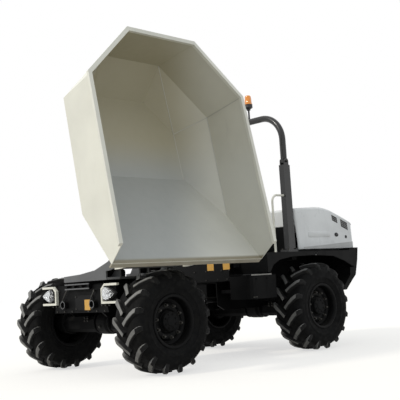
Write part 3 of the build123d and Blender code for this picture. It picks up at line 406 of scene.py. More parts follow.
class Shape:
    """Collects points and faces of many small forms into one mesh."""

    def __init__(self):
        self.verts = []
        self.faces = []
        self.tones = []

    def add(self, verts, faces, tones=None):
        start = len(self.verts)
        self.verts.extend(verts)
        self.faces.extend([tuple(i + start for i in face) for face in faces])
        self.tones.extend(tones or [0] * len(faces))

    def rings(self, rings, caps=True, loop=False, tones=None):
        """Joins rings with the same number of points one to the next; tones are for each side of a ring."""
        n = len(rings[0])
        count = len(rings)
        faces = []
        for k in range(count if loop else count - 1):
            after = (k + 1) % count
            for i in range(n):
                j = (i + 1) % n
                faces.append((k * n + i, k * n + j, after * n + j, after * n + i))
        tones = (tones or [0] * n) * (len(faces) // n)
        if caps and not loop:
            faces.append(tuple(range(n)))
            faces.append(tuple(range((count - 1) * n, count * n)))
            tones += [0, 0]
        self.add([point for ring in rings for point in ring], faces, tones)

    def prism(self, outline, direction):
        """An outline of points pushed along a direction."""
        self.rings([[Vector(p) for p in outline], [Vector(p) + Vector(direction) for p in outline]])

    def box(self, low, high):
        (x0, y0, z0), (x1, y1, z1) = low, high
        self.prism([(x0, y0, z0), (x1, y0, z0), (x1, y1, z0), (x0, y1, z0)], (0, 0, z1 - z0))

    def lathe(self, profile, centre, axis, count=48, loop=False):
        """Turns (along, radius) pairs about an axis through a centre."""
        axis = Vector(axis).normalized()
        side = axis.orthogonal().normalized()
        other = axis.cross(side)
        rings = [circle(Vector(centre) + axis * along, side, other, r, count) for along, r in profile]
        self.rings(rings, loop=loop)

    def bolt(self, place, axis, size=0.019, height=0.012):
        """A hexagon head with a chamfer on its washer; size is across the flats."""
        r = size / 1.732
        flat = 0.003
        self.lathe([(0, size * 0.62), (flat, size * 0.62)], place, axis, 16)
        self.lathe([(flat, r), (flat + height * 0.8, r), (flat + height, r * 0.82)], place, axis, 6)

    def tube(self, points, r, count=14):
        """A round bar or hose through points."""
        points = [Vector(p) for p in points]
        rings = []
        normal = None
        for i, p in enumerate(points):
            before = points[max(i - 1, 0)]
            after = points[min(i + 1, len(points) - 1)]
            direction = (after - before).normalized()
            if normal is None:
                normal = direction.orthogonal().normalized()
            normal = (normal - direction * normal.dot(direction)).normalized()
            rings.append(circle(p, normal, direction.cross(normal), r, count))
        self.rings(rings)

    def make(self, name, finish, body, **options):
        """A mesh object with its finish, riding on a body."""
        mesh = bpy.data.meshes.new(name)
        mesh.from_pydata([tuple(v) for v in self.verts], [], self.faces)
        for poly, tone in zip(mesh.polygons, self.tones):
            poly.material_index = tone
        bm = bmesh.new()
        bm.from_mesh(mesh)
        bmesh.ops.recalc_face_normals(bm, faces=bm.faces)
        bm.to_mesh(mesh)
        bm.free()
        return dress(name, mesh, finish, body, **options)


def rounded(points, r, count=5):
    """A closed outline of (u, v) corners with each corner rounded to radius r."""
    out = []
    n = len(points)
    for i in range(n):
        p = Vector(points[i])
        a = Vector(points[i - 1]) - p
        b = Vector(points[(i + 1) % n]) - p
        reach = min(r, a.length * 0.45, b.length * 0.45)
        out += [tuple(q) for q in curve(p + a.normalized() * reach, p, p + b.normalized() * reach, count)]
    return out


# ---------------- CAD nodes that are shown: finish and rounded edges
FINISH = {
    ("cast", 0.002): "slew_ring",
    ("cast", 0.003): "tow_jaw",
    ("cast", 0.004): "front_axle rear_axle centre_link",
    ("cast", 0.006): "engine_block",
    ("cast", 0.02): "counterweight",
    ("dark", 0.002): "rear_chassis front_chassis front_panel engine_bay tip_ram_barrel steer_ram_barrel",
    ("dark", 0.006): "tank_left tank_right seat_base",
    ("dark_grey", 0.002): "footwell",
    ("dark_grey", 0.004): "fender_left fender_right",
    ("gloss_black", 0.008): "rops_post_left rops_post_right",
    ("gloss_black", 0.0): "rops_hoop",
    ("black_plastic", 0.01): "console",
    ("frame", 0.003): "swivel_frame",
    ("chrome", 0.0): "tip_ram_rod steer_ram_rod",
    ("cream", 0.0): "grab_rail",
    ("cream", 0.002): "skip_underframe skip_rim",
    ("cream", 0.004): "lamp_guard_left lamp_guard_right",
    ("skip", 0.0): "skip_shell",
    ("lip", 0.002): "skip_lip",
}
for (finish, width), nodes in FINISH.items():
    for node in nodes.split():
        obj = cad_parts[node]
        for slot in obj.material_slots:
            slot.material = M[finish][1]
        if width:
            soften(obj, width, 2, 30)

# ---------------- wheels
TYRE_LUGS = 16             # on each half of the tread
NUTS = 10
NUT_CIRCLE = 0.1675
DISC_OUT = 0.087           # the disc's bolting face, out from the wheel's middle
LUG_LEAN = 1.22            # how far a lug trails for each step towards the shoulder, at the tread's middle
LUG_BEND = 1.9             # and how fast that falls off
# half of the carcass's section, as distances in from its side and its top
CARCASS = mm(
    (85, 38), (45, 46), (20, 60), (8, 82), (4.5, 100), (3.5, 102), (1.5, 112), (1.5, 150), (4.5, 176),
    (1.5, 181), (1.5, 186), (7.5, 192), (15.5, 222), (24.5, 243), (24.5, 251), (34, 256), (39, 276),
)
# a lug from the tread's middle over the shoulder: its top and base, each across and down, and half its width
LUG = (
    (0.007, 0.0012, 0.004, 0.050, 0.026), (0.012, 0.0005, 0.008, 0.050, 0.025),
    (0.060, 0.0005, 0.058, 0.050, 0.022), (0.110, 0.0015, 0.106, 0.052, 0.027),
    (TYRE_HALF - 0.056, 0.004, TYRE_HALF - 0.066, 0.056, 0.028),
    (TYRE_HALF - 0.030, 0.013, TYRE_HALF - 0.044, 0.070, 0.028),
    (TYRE_HALF - 0.013, 0.031, TYRE_HALF - 0.028, 0.086, 0.028),
    (TYRE_HALF - 0.004, 0.060, TYRE_HALF - 0.018, 0.102, 0.025),
    (TYRE_HALF - 0.001, 0.096, TYRE_HALF - 0.012, 0.116, 0.022),
)
# (out, radius) sections of the wheel; the rolled flange is the same on both sides
FLANGE = mm((176, 246.5), (181.5, 256), (182.5, 268), (181.5, 275.5), (178.5, 277.5), (175, 275.5), (173.5, 268),
            (168, 258.5))
RIM_SHELL = FLANGE + mm((120, 254.5), (90, 248), (30, 246), (-100, 250))
RIM_SHELL += [(-y, r) for y, r in reversed(FLANGE)] + mm((-100, 240), (60, 239), (120, 244))
RIM_DISC = mm(
    (82, 242), (84, 232), (79, 222), (62, 209), (60, 201), (64, 194), (82, 186), (87, 180), (87, 112),
    (73, 112), (73, 180), (50, 196), (48, 212), (70, 242),
)
HUB = mm(
    (-62, 118), (40, 118), (46, 112), (87, 112), (87, 105), (122, 101), (130, 94), (130, 52), (136, 48),
    (138, 40),
)
NUT = (
    (((0, 0.021), (0.005, 0.019)), 20), (((0.004, 0.0158), (0.022, 0.0158), (0.025, 0.0135)), 6),
    (((0.020, 0.0095), (0.034, 0.0095), (0.036, 0.008)), 12),
)


def add_lug(shape, centre, side, start):
    """One lug, which trails round the tread along a curve that flattens towards the shoulder."""
    rings = []
    for k, (y_top, top, y_base, base, half) in enumerate(LUG):
        r_top = TYRE_R - top
        r_base = TYRE_R - base
        s = y_top - 0.006
        lean = LUG_LEAN - 2 * LUG_BEND * s
        across = max(0.0, 1.0 - k / 5.0) * lean
        length = hypot(1.0, across)
        section = ((y_base, r_base, -half - 0.014), (y_top, r_top - 0.007, -half - 0.001),
                   (y_top, r_top, -half + 0.006), (y_top, r_top, half - 0.006),
                   (y_top, r_top - 0.007, half + 0.001), (y_base, r_base, half + 0.014))
        ring = []
        for y, r, offset in section:
            y += offset * across / length
            if k == 0:
                y = max(0.0, y)
            angle = start + (-(LUG_LEAN * s - LUG_BEND * s * s) + offset / length) / TYRE_R
            ring.append(centre + Vector((r * sin(angle), side * y, r * cos(angle))))
        rings.append(ring)
    shape.rings(rings, tones=[1, 1, 1, 1, 1, 0])


def make_wheel(corner):
    centre = middle("tyre_" + corner)
    body = "wheel_" + corner
    out = Vector((0, 1 if corner.endswith("left") else -1, 0))
    half = [(0.0, TYRE_R - 0.0365)] + [(TYRE_HALF - aside, TYRE_R - down) for aside, down in CARCASS]
    tyre = Shape()
    tyre.lathe(half + [(-y, r) for y, r in reversed(half[1:])], centre, ACROSS, 96, loop=True)
    tyre.make("tyre_carcass_" + corner, "rubber", body, smooth=True, replaces="tyre_" + corner)
    tread = Shape()
    for first, second in zip(places(TYRE_LUGS), places(TYRE_LUGS, 0.5)):
        add_lug(tread, centre, 1, first)
        add_lug(tread, centre, -1, second)
    tread.make("tyre_tread_" + corner, ("rubber", "lug"), body, bevel=0.0025)
    rim = Shape()
    rim.lathe(RIM_SHELL, centre, out, 96, loop=True)
    rim.lathe(RIM_DISC, centre, out, 96, loop=True)
    rim.make("rim_shell_" + corner, "rim", body, smooth=True, replaces="rim_" + corner)
    hub = Shape()
    hub.lathe(HUB, centre, out, 64)
    for a in places(8, 0.5):
        hub.bolt(centre + out * 0.130 + spoke(a) * 0.074, out, 0.017, 0.008)
    for a in places(12):
        skew = spoke(a + pi / 2) * 0.004
        root = centre - out * 0.055 - skew
        near = root + spoke(a) * 0.117
        hub.prism([near, root + spoke(a) * 0.128, near + out * 0.09], skew * 2)
    hub.make("hub_" + corner, "cast", body, bevel=0.0015)
    nuts = Shape()
    for a in places(NUTS, 0.25):
        for profile, count in NUT:
            nuts.lathe(profile, centre + out * DISC_OUT + spoke(a) * NUT_CIRCLE, out, count)
    nuts.make("wheel_nuts_" + corner, "zinc_dull", body, bevel=0.0008)
    root = centre + Vector((0.226, 0, 0)) + out * 0.080
    stem = mm((0, 0), (2, 20), (8, 45), (7.5, 42), (10, 56))
    stem = [root + out * y + Vector((x, 0, 0)) for x, y in stem]
    valve = Shape()
    valve.tube(stem[:3], 0.0045, 10)
    valve.tube(stem[3:], 0.0065, 10)
    valve.make("valve_" + corner, "black_plastic", body, smooth=True)


for corner in WHEELS:
    make_wheel(corner)


# ---------------- bonnet
BONNET_HALF = (reach_of("bonnet_shell", 1) + reach_of("bonnet_shell", -1)) / 2
BONNET_REAR = 3.712
WAIST = 1.350              # from here up the bonnet's sides lean in
FIREWALL_TOP = 1.556
BONNET_BEND = 0.090        # how far the bends between its top's faces reach
BONNET_EDGE = 0.036        # radius of its edges
# the top's outline, (x, z) from its front hinge to its rear foot
BONNET_TOP = (
    (-2.385, 1.775), (-2.900, 1.806), (-3.110, 1.777), (-3.470, 1.647), (-3.650, 1.566), (-BONNET_REAR, 1.359),
    (-BONNET_REAR, 1.250),
)


def bisect(bm, point, normal, **options):
    everything = bm.verts[:] + bm.edges[:] + bm.faces[:]
    return bmesh.ops.bisect_plane(bm, geom=everything, plane_co=point, plane_no=normal, **options)


def convex(low, high, planes):
    """A box cut by planes, each a point and a normal facing out, as a closed mesh."""
    bm = bmesh.new()
    bmesh.ops.create_cube(bm, size=1.0)
    size = high - low
    for v in bm.verts:
        v.co = low + Vector([(v.co[i] + 0.5) * size[i] for i in range(3)])
    for point, normal in planes:
        cut = bisect(bm, point, normal, clear_outer=True)
        edges = [e for e in cut["geom_cut"] if isinstance(e, bmesh.types.BMEdge)]
        bmesh.ops.edgeloop_fill(bm, edges=edges)
    bmesh.ops.recalc_face_normals(bm, faces=bm.faces)
    return bm


def applied(obj):
    """The object's mesh with its modifiers worked in, which are then taken off."""
    graph = bpy.context.evaluated_depsgraph_get()
    mesh = bpy.data.meshes.new_from_object(obj.evaluated_get(graph))
    obj.modifiers.clear()
    obj.data = mesh
    return mesh


def make_bonnet():
    low, high = box_of("bonnet_shell")
    corners = [Vector(p) for p in BONNET_TOP]
    points = [corners[0]]
    for before, corner, after in zip(corners, corners[1:], corners[2:]):
        reach = min(BONNET_BEND, (corner - before).length * 0.46, (after - corner).length * 0.46)
        a = corner + (before - corner).normalized() * reach
        b = corner + (after - corner).normalized() * reach
        points += curve(a, corner, b, 8)
    points.append(corners[-1])
    planes = []
    for a, b in zip(points, points[1:]):
        run = b - a
        planes.append((at(a.x, 0, a.y), Vector((run.y, 0, -run.x)).normalized()))
    for s in (1, -1):
        planes.append((at(0, s * BONNET_HALF, WAIST), Vector((0, s * 0.55, 0.05)).normalized()))
        chamfer = Vector((0.640 - BONNET_HALF, s * (BONNET_REAR - 3.540), 0)).normalized()
        planes.append((at(-3.540, s * BONNET_HALF, 0), chamfer))
    bm = convex(low, high, planes)
    mesh = bpy.data.meshes.new("bonnet")
    bm.to_mesh(mesh)
    bm.free()
    obj = new_object("bonnet_work", mesh)
    round_edges(obj, BONNET_EDGE, 5, 20).use_clamp_overlap = False
    mesh = applied(obj)
    bpy.data.objects.remove(obj)
    # open below, and at the front as far up as the firewall
    bm = bmesh.new()
    bm.from_mesh(mesh)
    bisect(bm, (0, 0, low.z + 0.045), UP, clear_inner=True)
    skirt = bmesh.ops.extrude_edge_only(bm, edges=[e for e in bm.edges if e.is_boundary])
    for v in skirt["geom"]:
        if isinstance(v, bmesh.types.BMVert):
            v.co.z = low.z
    bisect(bm, (0, 0, FIREWALL_TOP), UP)
    gone = [f for f in bm.faces if f.normal.x > 0.98 and f.calc_center_median().z < FIREWALL_TOP]
    bmesh.ops.delete(bm, geom=gone, context="FACES")
    bmesh.ops.recalc_face_normals(bm, faces=bm.faces)
    bm.to_mesh(mesh)
    bm.free()
    bonnet = dress("bonnet_moulding", mesh, "bonnet", "bonnet", smooth=True, replaces="bonnet_shell")
    wall = bonnet.modifiers.new("wall", "SOLIDIFY")
    wall.thickness = 0.010
    wall.offset = -1.0
    applied(bonnet)
    flat_faces(bonnet)


make_bonnet()


# ---------------- bonnet's fittings
HOOD = ((0.0005, -0.001), (0.0, 0.003), (-0.003, 0.006), (-0.0045, 0.004), (-0.0035, 0.0005))   # (up, out)
SLAT_TILT = 0.35
SLAT_HALF = 0.012
LEAN = 0.0909              # the sides' lean, and as rounded for the low fittings
LOW_LEAN = 0.091


def on_bonnet(side, x, z, out, lean=LEAN):
    """A point on the bonnet's leaning side, or out from it."""
    return at(x, side * (BONNET_HALF - (z - WAIST) * lean + out), z)


def make_louvres(name, side):
    """Two rows of slanted openings under pressed hoods, along the rear shoulder; each opening is a thin black
    sheet on the surface, painted shade for the hole.
    """
    hoods = Shape()
    shade_sheets = Shape()
    slats = [(-3.200, 1.668 - 0.026 * i, 0.115) for i in range(3)]
    slats += [(-3.395, 1.606 - 0.026 * i, 0.150) for i in range(4)]
    for x, z, width in slats:
        dx = width * cos(SLAT_TILT) / 2
        dz = width * sin(SLAT_TILT) / 2
        slot = [(x + end * dx, z + end * dz + edge * SLAT_HALF)
                for end, edge in ((1, 1), (-1, 1), (-1, -1), (1, -1))]
        # the opening: a thin black sheet across the surface, painted shade in place of a hole
        shade_sheets.rings([[on_bonnet(side, u, v, out) for u, v in slot] for out in (-0.001, 0.0008)])
        hoods.rings([[on_bonnet(side, x + end * dx, z + end * dz + 0.013 + up, out) for up, out in HOOD]
                     for end in (1, -1)])
    shade_sheets.make("louvre_shade_sheets_" + name, "black_plastic", "bonnet")
    hoods.make("louvre_hoods_" + name, "bonnet", "bonnet", bevel=0.0015, segments=2)


def make_side_fittings(name, side):
    # paddle latch in a dished oval plate
    oval = [(cos(a) * 0.040, sin(a) * 0.027) for a in places(24)]
    paddle = rounded([(-0.026, -0.013), (0.026, -0.013), (0.026, 0.013), (-0.026, 0.013)], 0.006)
    latch = Shape()
    for outline, rows in ((oval, ((1.0, -0.002), (1.0, 0.004), (0.82, 0.006), (0.74, 0.001))),
                          (paddle, ((1.0, 0.000), (1.0, 0.010), (0.85, 0.014)))):
        latch.rings([[on_bonnet(side, -3.190 + u * k, 1.432 + v * k, out, LOW_LEAN) for u, v in outline]
                     for k, out in rows])
    latch.make("bonnet_latch_" + name, "black_plastic", "bonnet", bevel=0.001,
               replaces="bonnet_handle" if side > 0 else None)
    # lower skirt under a rising crease
    outline = [(-2.480 - 1.055 * i / 20, 1.276 + 0.062 * i / 20) for i in range(21)]
    outline += [(-3.535, 1.2515), (-2.480, 1.2515)]
    skirt = Shape()
    skirt.rings([[at(x, side * (BONNET_HALF + out), z) for x, z in outline] for out in (-0.004, 0.0022)])
    skirt.make("bonnet_skirt_" + name, "skirt", "bonnet", bevel=0.002, segments=2)
    lock = Shape()
    face = BONNET_HALF - 0.052 * LEAN
    lock.rings([[at(-3.395 + r * cos(a), side * (face + out), 1.402 + r * sin(a)) for a in places(20)]
                for r, out in mm((22, -2), (22, 4), (17.6, 6), (15.4, 2))])
    lock.make("bonnet_lock_" + name, "black_plastic", "bonnet", smooth=True)
    # bare raised plate, drawn about its middle
    outline = rounded([(0.225, -0.0375), (-0.225, -0.0375), (-0.225, 0.0375), (0.225, 0.0375)], 0.012)
    plate = Shape()
    plate.rings([[on_bonnet(side, -2.825 + u * k, 1.4375 + v * k, out, LOW_LEAN) for u, v in outline]
                 for k, out in ((1.0, 0.0), (1.0, 0.0015), (0.985, 0.0025))])
    plate.make("bare_plate_" + name, "bonnet", "bonnet", smooth=True)


def make_rear_grille():
    grille = Shape()
    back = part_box("bonnet_shell")[0][0]
    y = ZERO.y - 0.42
    for row in range(6):
        z = 1.285 + row * 0.016
        slat = ((back + 0.003, y, z), (back + 0.0002, y, z + 0.004), (back + 0.003, y, z + 0.008))
        grille.prism(slat, (0, 0.84, 0))
    grille.make("rear_grille", "dark", "bonnet")


for name, side in SIDES:
    make_louvres(name, side)
    make_side_fittings(name, side)
make_rear_grille()


# ---------------- lamps
# half of the headlamp's drop shape, as shares of its width and of half its height
DROP = ((0.0, 0.03), (0.015, 0.42), (0.06, 0.72), (0.14, 0.92), (0.27, 1.0), (0.42, 0.95), (0.58, 0.78),
        (0.74, 0.54), (0.88, 0.28), (0.97, 0.10), (1.0, 0.0))
DROP_MIDDLE = 0.42


def make_headlamp(node, side):
    """Drop-shaped lamp: dark case, faceted reflector and a crowned clear lens."""
    low, high = box_of(node)
    depth = high.x - low.x
    middle_z = (low.z + high.z) / 2
    inner = low.y if side > 0 else high.y
    reach = (high.y - low.y) * side
    tall = (high.z - low.z) / 2
    outline = list(DROP) + [(u, -v) for u, v in reversed(DROP[:-1])]
    n = len(outline)

    def ring(scale, x):
        centre = DROP_MIDDLE
        points = [(centre + (u - centre) * scale, v * scale) for u, v in outline]
        return [Vector((low.x + x, inner + reach * u, middle_z + tall * v)) for u, v in points]

    case = Shape()
    case.rings([ring(0.97, 0.0), ring(1.0, 0.006), ring(1.0, depth - 0.020), ring(0.99, depth - 0.014),
                ring(0.975, depth - 0.015), ring(0.965, 0.012)], caps=False)
    case.add(ring(0.965, 0.012), [tuple(range(n))])
    case.add(ring(0.97, 0.0), [tuple(range(n))])
    case.make(node + "_case", "black_plastic", FRONT, smooth=True, replaces=node)
    # reflector: rows of shallow facets about the bulb
    bowl = Shape()
    rings = [ring(0.10 + 0.86 * t, 0.014 + (depth - 0.034) * t * t) for t in [k / 6 for k in range(7)]]
    for k in range(6):
        for i in range(n):
            j = (i + 1) % n
            square = [rings[k][i], rings[k][j], rings[k + 1][j], rings[k + 1][i]]
            bulge = Vector((0.0035 if (i + k) % 2 else -0.0015, 0, 0))
            peak = (square[0] + square[1] + square[2] + square[3]) / 4 + bulge
            bowl.add(square + [peak], [(0, 1, 4), (1, 2, 4), (2, 3, 4), (3, 0, 4)])
    bowl.add(rings[0], [tuple(range(n))])
    bowl.make(node + "_reflector", "reflector", FRONT)
    bulb = Shape()
    bulb.lathe(mm((0, 10), (8, 10), (10, 6), (24, 6), (29, 4), (30, 0.5)),
               (low.x + 0.014, inner + reach * 0.36, middle_z), ALONG, 16)
    bulb.make(node + "_bulb", "clear", FRONT, smooth=True)
    cover = Shape()
    cover.rings([ring(scale, depth - back) for scale, back in (
        (0.972, 0.021), (0.972, 0.013), (0.93, 0.008), (0.80, 0.0035), (0.55, 0.0008), (0.25, 0.0))])
    cover.make(node + "_lens", "glass", FRONT, smooth=True)


def make_tail_lamp(node):
    """Dark case with three ribbed lens parts, the middle one amber."""
    low, high = box_of(node)
    y0, y1, z0, z1 = low.y, high.y, low.z, high.z
    mid_y = (y0 + y1) / 2
    mid_z = (z0 + z1) / 2
    outline = rounded([(y0, z0), (y1, z0), (y1, z1), (y0, z1)], 0.014)

    def ring(inset, x):
        fy = 1 - inset / ((y1 - y0) / 2)
        fz = 1 - inset / ((z1 - z0) / 2)
        return [Vector((x, mid_y + (y - mid_y) * fy, mid_z + (z - mid_z) * fz)) for y, z in outline]

    case = Shape()
    case.rings([ring(0, high.x), ring(0, low.x + 0.006), ring(0.004, low.x + 0.003), ring(0.008, low.x + 0.004),
                ring(0.008, low.x + 0.012)])
    case.make(node + "_case", "black_plastic", REAR, bevel=0.001, replaces=node)
    cover = Shape()
    ribs = 9
    wide = y1 - y0 - 0.020
    for tone, start, end in ((0, 0.0, 0.36), (1, 0.36, 0.70), (0, 0.70, 1.0)):
        ya = y0 + 0.010 + wide * start
        yb = y0 + 0.010 + wide * end - 0.001
        rows = []
        for i in range(ribs * 2 + 1):
            y = ya + (yb - ya) * i / (ribs * 2)
            x = low.x + (0.0015 if i % 2 else 0.0030)
            rows.append([Vector(p) for p in ((x, y, z0 + 0.011), (x - 0.0012, y, mid_z), (x, y, z1 - 0.011),
                                             (low.x + 0.010, y, z1 - 0.010), (low.x + 0.010, y, z0 + 0.010))])
        first = len(cover.tones)
        cover.rings(rows)
        cover.tones[first:] = [tone] * (len(cover.tones) - first)
    cover.make(node + "_lens", ("red", "amber"), REAR)


def make_beacon():
    """Ribbed lens over a dark foot with a clamp."""
    low, high = box_of("beacon_lens")
    centre = Vector(((low.x + high.x) / 2, (low.y + high.y) / 2, low.z))
    tall = high.z - low.z
    wide = (high.x - low.x) / 2
    profile = [(0.0, wide - 0.004), (0.004, wide - 0.0005)]
    for t in [i / 9 for i in range(9)]:
        r = wide - 0.010 * t
        z = 0.006 + (tall - 0.030) * t
        profile += [(z, r - 0.0005), (z + 0.0055, r - 0.0028), (z + 0.0105, r - 0.0005)]
    for t in [radians(15 * a) for a in range(1, 7)]:
        profile.append((tall - 0.022 + 0.022 * sin(t), wide - 0.034 + 0.022 * cos(t)))
    dome = Shape()
    dome.lathe(profile + [(tall, 0.001)], centre, UP)
    dome.make("beacon_dome", "amber", "hoop", smooth=True, replaces="beacon_lens")
    low, high = box_of("beacon_base")
    wide = (high.x - low.x) / 2
    tall = high.z - low.z
    foot = Shape()
    foot.lathe([(0.0, 0.024), (0.018, 0.026), (0.030, wide - 0.006), (0.036, wide - 0.001),
                (tall - 0.026, wide - 0.001), (tall - 0.022, wide - 0.003), (tall - 0.012, wide - 0.003),
                (tall - 0.010, wide - 0.0005), (tall, wide - 0.0005)], (centre.x, centre.y, low.z), UP)
    foot.bolt(Vector((centre.x + 0.025, centre.y, low.z + 0.010)), ALONG, 0.013, 0.008)
    foot.make("beacon_foot", "black_plastic", "hoop", bevel=0.0008, replaces="beacon_base")


for name, side in SIDES:
    make_headlamp("headlamp_" + name, side)
    make_tail_lamp("tail_lamp_" + name)
make_beacon()


# ---------------- fittings on the front chassis
PANEL_FACE = 0.3755        # the front panel's outer face
RING_TEETH = 96


def sticker(shape, corner, across, width, height, push, r):
    """An upright plate with rounded corners, from its lower inner corner; push is its thickness as a vector."""
    outline = rounded([(0, 0), (width, 0), (width, height), (0, height)], r, 3)
    shape.prism([corner + Vector(across) * u + Vector(UP) * v for u, v in outline], push)


def bolt_set(name, body, *groups, bevel=0.0006):
    """One piece of dull bolts; each group is its places, axis, size across the flats and height."""
    bolts = Shape()
    for points, axis, size, height in groups:
        for point in points:
            bolts.bolt(at(*point), axis, size, height)
    bolts.make(name, "zinc_dull", body, bevel=bevel)


def make_front_fittings():
    # two bright bars along the slotted rail, and the stays from the rail down to the panel
    rail = Shape()
    for z in (0.922, 0.971):
        row = [(0.409, z - 0.006), (0.419, z - 0.007), (0.4205, z), (0.419, z + 0.007), (0.409, z + 0.006)]
        rail.rings([[at(u, y, v) for u, v in row] for y in (-0.224, -0.222, 0.222, 0.224)])
    rail.make("rail_bars", "frame", FRONT, bevel=0.001)
    rods = Shape()
    for top, foot in (((0.400, -0.212, 0.918), (0.392, -0.330, 0.772)),
                      ((0.400, 0.286, 0.893), (0.392, 0.200, 0.780))):
        a = at(*top)
        b = at(*foot)
        rods.tube([a, a * 0.5 + b * 0.5 + Vector((0.004, 0, 0)), b], 0.0065, 12)
        for end in (a, b):
            rods.lathe(mm((-16, 12), (4, 12), (6, 10)), end, ALONG, 14)
    rods.make("panel_stays", "zinc_dull", FRONT, bevel=0.0008)
    # raised middle plate, its blank label, and the bolts
    plate = Shape()
    sticker(plate, at(PANEL_FACE, -0.090, 0.690), ACROSS, 0.330, 0.160, (0.005, 0, 0), 0.012)
    plate.make("panel_cover", "dark_worn", FRONT, bevel=0.0015)
    label = Shape()
    sticker(label, at(PANEL_FACE + 0.0055, 0.083, 0.690), ACROSS, 0.100, 0.112, (0.001, 0, 0), 0.008)
    label.make("bare_label_front", "yellow", FRONT)
    sides = ((0.455, 0.735), (0.520, 0.735), (0.395, 0.905), (0.395, 0.735))
    on_cover = [(PANEL_FACE + 0.005, y, z) for y in (-0.070, 0.220) for z in (0.706, 0.834)]
    bolt_set("panel_bolts", FRONT, (on_cover, ALONG, 0.013, 0.008),
             ([(PANEL_FACE, s * y, z) for s in (-1, 1) for y, z in sides], ALONG, 0.016, 0.009),
             ([(PANEL_FACE, s * y, 0.678) for s in (-1, 1) for y in (0.44, 0.30, 0.15)], ALONG, 0.016, 0.009))
    # the tie-down tubes' machined faces and closed ends
    rings = Shape()
    for s in (-1, 1):
        centre = at(0.427, s * 0.270, 0.752)
        rings.lathe(mm((0, 43.5), (1.5, 42.5), (1.5, 35.5), (0, 34.5), (-6, 34.3), (-6, 43.6)),
                    centre, ALONG, 40, loop=True)
        rings.lathe(mm((-52, 34.3), (-40, 34.3), (-36, 14)), centre, ALONG, 32)
    rings.make("tie_tube_faces", "frame", FRONT, bevel=0.0006)


def make_axle_fittings(name, body, x0, saddle):
    """Bolted covers beside the differential, flanges at the hubs' reductions and bolts at the saddles."""
    flanges = Shape()
    for s in (1, -1):
        side = Vector((0, s, 0))
        centre = at(x0, 0, TYRE_R)
        flanges.lathe(mm((116, 126), (124, 128), (138, 128), (142, 122), (150, 106), (150, 90)),
                      centre, side, 40)
        for a in places(12):
            flanges.bolt(centre + side * 0.140 + spoke(a) * 0.112, side, 0.014, 0.008)
        end = centre + side * 0.728
        flanges.lathe(mm((-18, 136), (0, 138), (6, 138), (10, 130)), end, side)
        for a in places(14):
            flanges.bolt(end - side * 0.018 + spoke(a) * 0.127, -side, 0.013, 0.008)
    flanges.make(name + "_axle_flanges", "cast", body, bevel=0.0012)
    spots = [(s * (saddle + dy), TYRE_R + dz)
             for s in (1, -1) for dy in (-0.028, 0.028) for dz in (0.022, 0.052)]
    bolt_set(name + "_axle_bolts", body,
             *[([(x0 + end * 0.097, y, z) for y, z in spots], (end, 0, 0), 0.019, 0.011) for end in (1, -1)])


def make_slewing_fittings():
    # bolt circle and teeth of the slewing ring
    ring = Shape()
    centre = middle("slew_ring")
    centre.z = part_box("slew_ring")[0][2]
    for a in places(36, 0.5):
        ring.lathe(mm((10, 8.5), (20, 8.5), (22, 7)), centre + Vector((cos(a), sin(a), 0)) * 0.397, UP, 6)
    teeth = []
    for i, a in enumerate(places(RING_TEETH * 4)):
        r = 0.3975 if i % 4 < 2 else 0.3925
        teeth.append(centre + Vector((cos(a) * r, sin(a) * r, 0.003)))
    ring.prism(teeth, (0, 0, 0.0265))
    ring.make("slewing_ring_teeth", "cast", FRONT)
    # closing web, gussets and top flanges behind the tipping ram's foot; the frame is stored facing +Y
    low, high = box_of("swivel_frame")
    foot = low.z + 0.024
    web = Shape()
    for s in (-1, 1):
        for outline, push in (
            (((0.105, 0.400, foot), (0.428, 0.400, foot), (0.428, 0.400, 1.104), (0.300, 0.400, 1.118),
              (0.150, 0.400, 1.118), (0.105, 0.400, 1.090)), (0, 0.012, 0)),
            (((0.200, 0.200, foot), (0.200, 0.400, foot), (0.200, 0.400, 1.100)), (0.010, 0, 0)),
            (((0.428, 0.402, 1.104), (0.428, 0.640, 1.120), (0.300, 0.640, 1.120), (0.300, 0.402, 1.104)),
             (0, 0, 0.008)),
        ):
            web.prism([at(SLEW_X + s * x, y, z) for x, y, z in outline], push)
    web.make("slewing_frame_web", "dark", "swivel", bevel=0.0015)
    # pin caps at the tipping pivots, each over its nut
    caps = Shape()
    for x, out in ((high.x, 1), (low.x, -1)):
        place = Vector((x - out * 0.0005, ZERO.y + PIVOT_R, PIVOT_Z))
        caps.lathe(mm((-12, 26), (-0.5, 26), (0, 22)), place, (out, 0, 0), 28)
        caps.lathe(mm((-0.5, 6.93), (-1.3, 6.93), (-1.5, 5.68)), place, (out, 0, 0), 6)
    caps.make("tip_pin_caps", "zinc_dull", "swivel", bevel=0.0006)
    # hydraulic manifold on the frame's base, beside the tipping ram's foot
    block = Shape()
    block.box(at(0.110, 0.020, 1.0232), at(0.330, 0.130, 1.0752))
    for x in (0.140, 0.195, 0.250, 0.305):
        block.lathe(mm((0, 17), (12, 17), (12, 13), (26, 13)), at(x, 0.130, 1.050), ACROSS, 6)
        block.lathe(mm((0, 16), (10, 16), (14, 12), (20, 10)), at(x, 0.075, 1.075), UP, 20)
    block.make("valve_block", "cast", "swivel", bevel=0.003, segments=2)


# ---------------- skip's weld seams
PIVOT_R = 0.768            # the tipping pivot, out from the slewing axis and up
PIVOT_Z = 1.243
TIP = radians(77.5)
SEAM_R = 0.0052


def on_skip(s, w, h):
    """From the skip's own measures, lengthways, across and up, to its stored place."""
    ds = s - 0.450
    dh = h - 0.060
    return at(SLEW_X - w, PIVOT_R + ds * cos(TIP) + dh * sin(TIP), PIVOT_Z - ds * sin(TIP) + dh * cos(TIP))


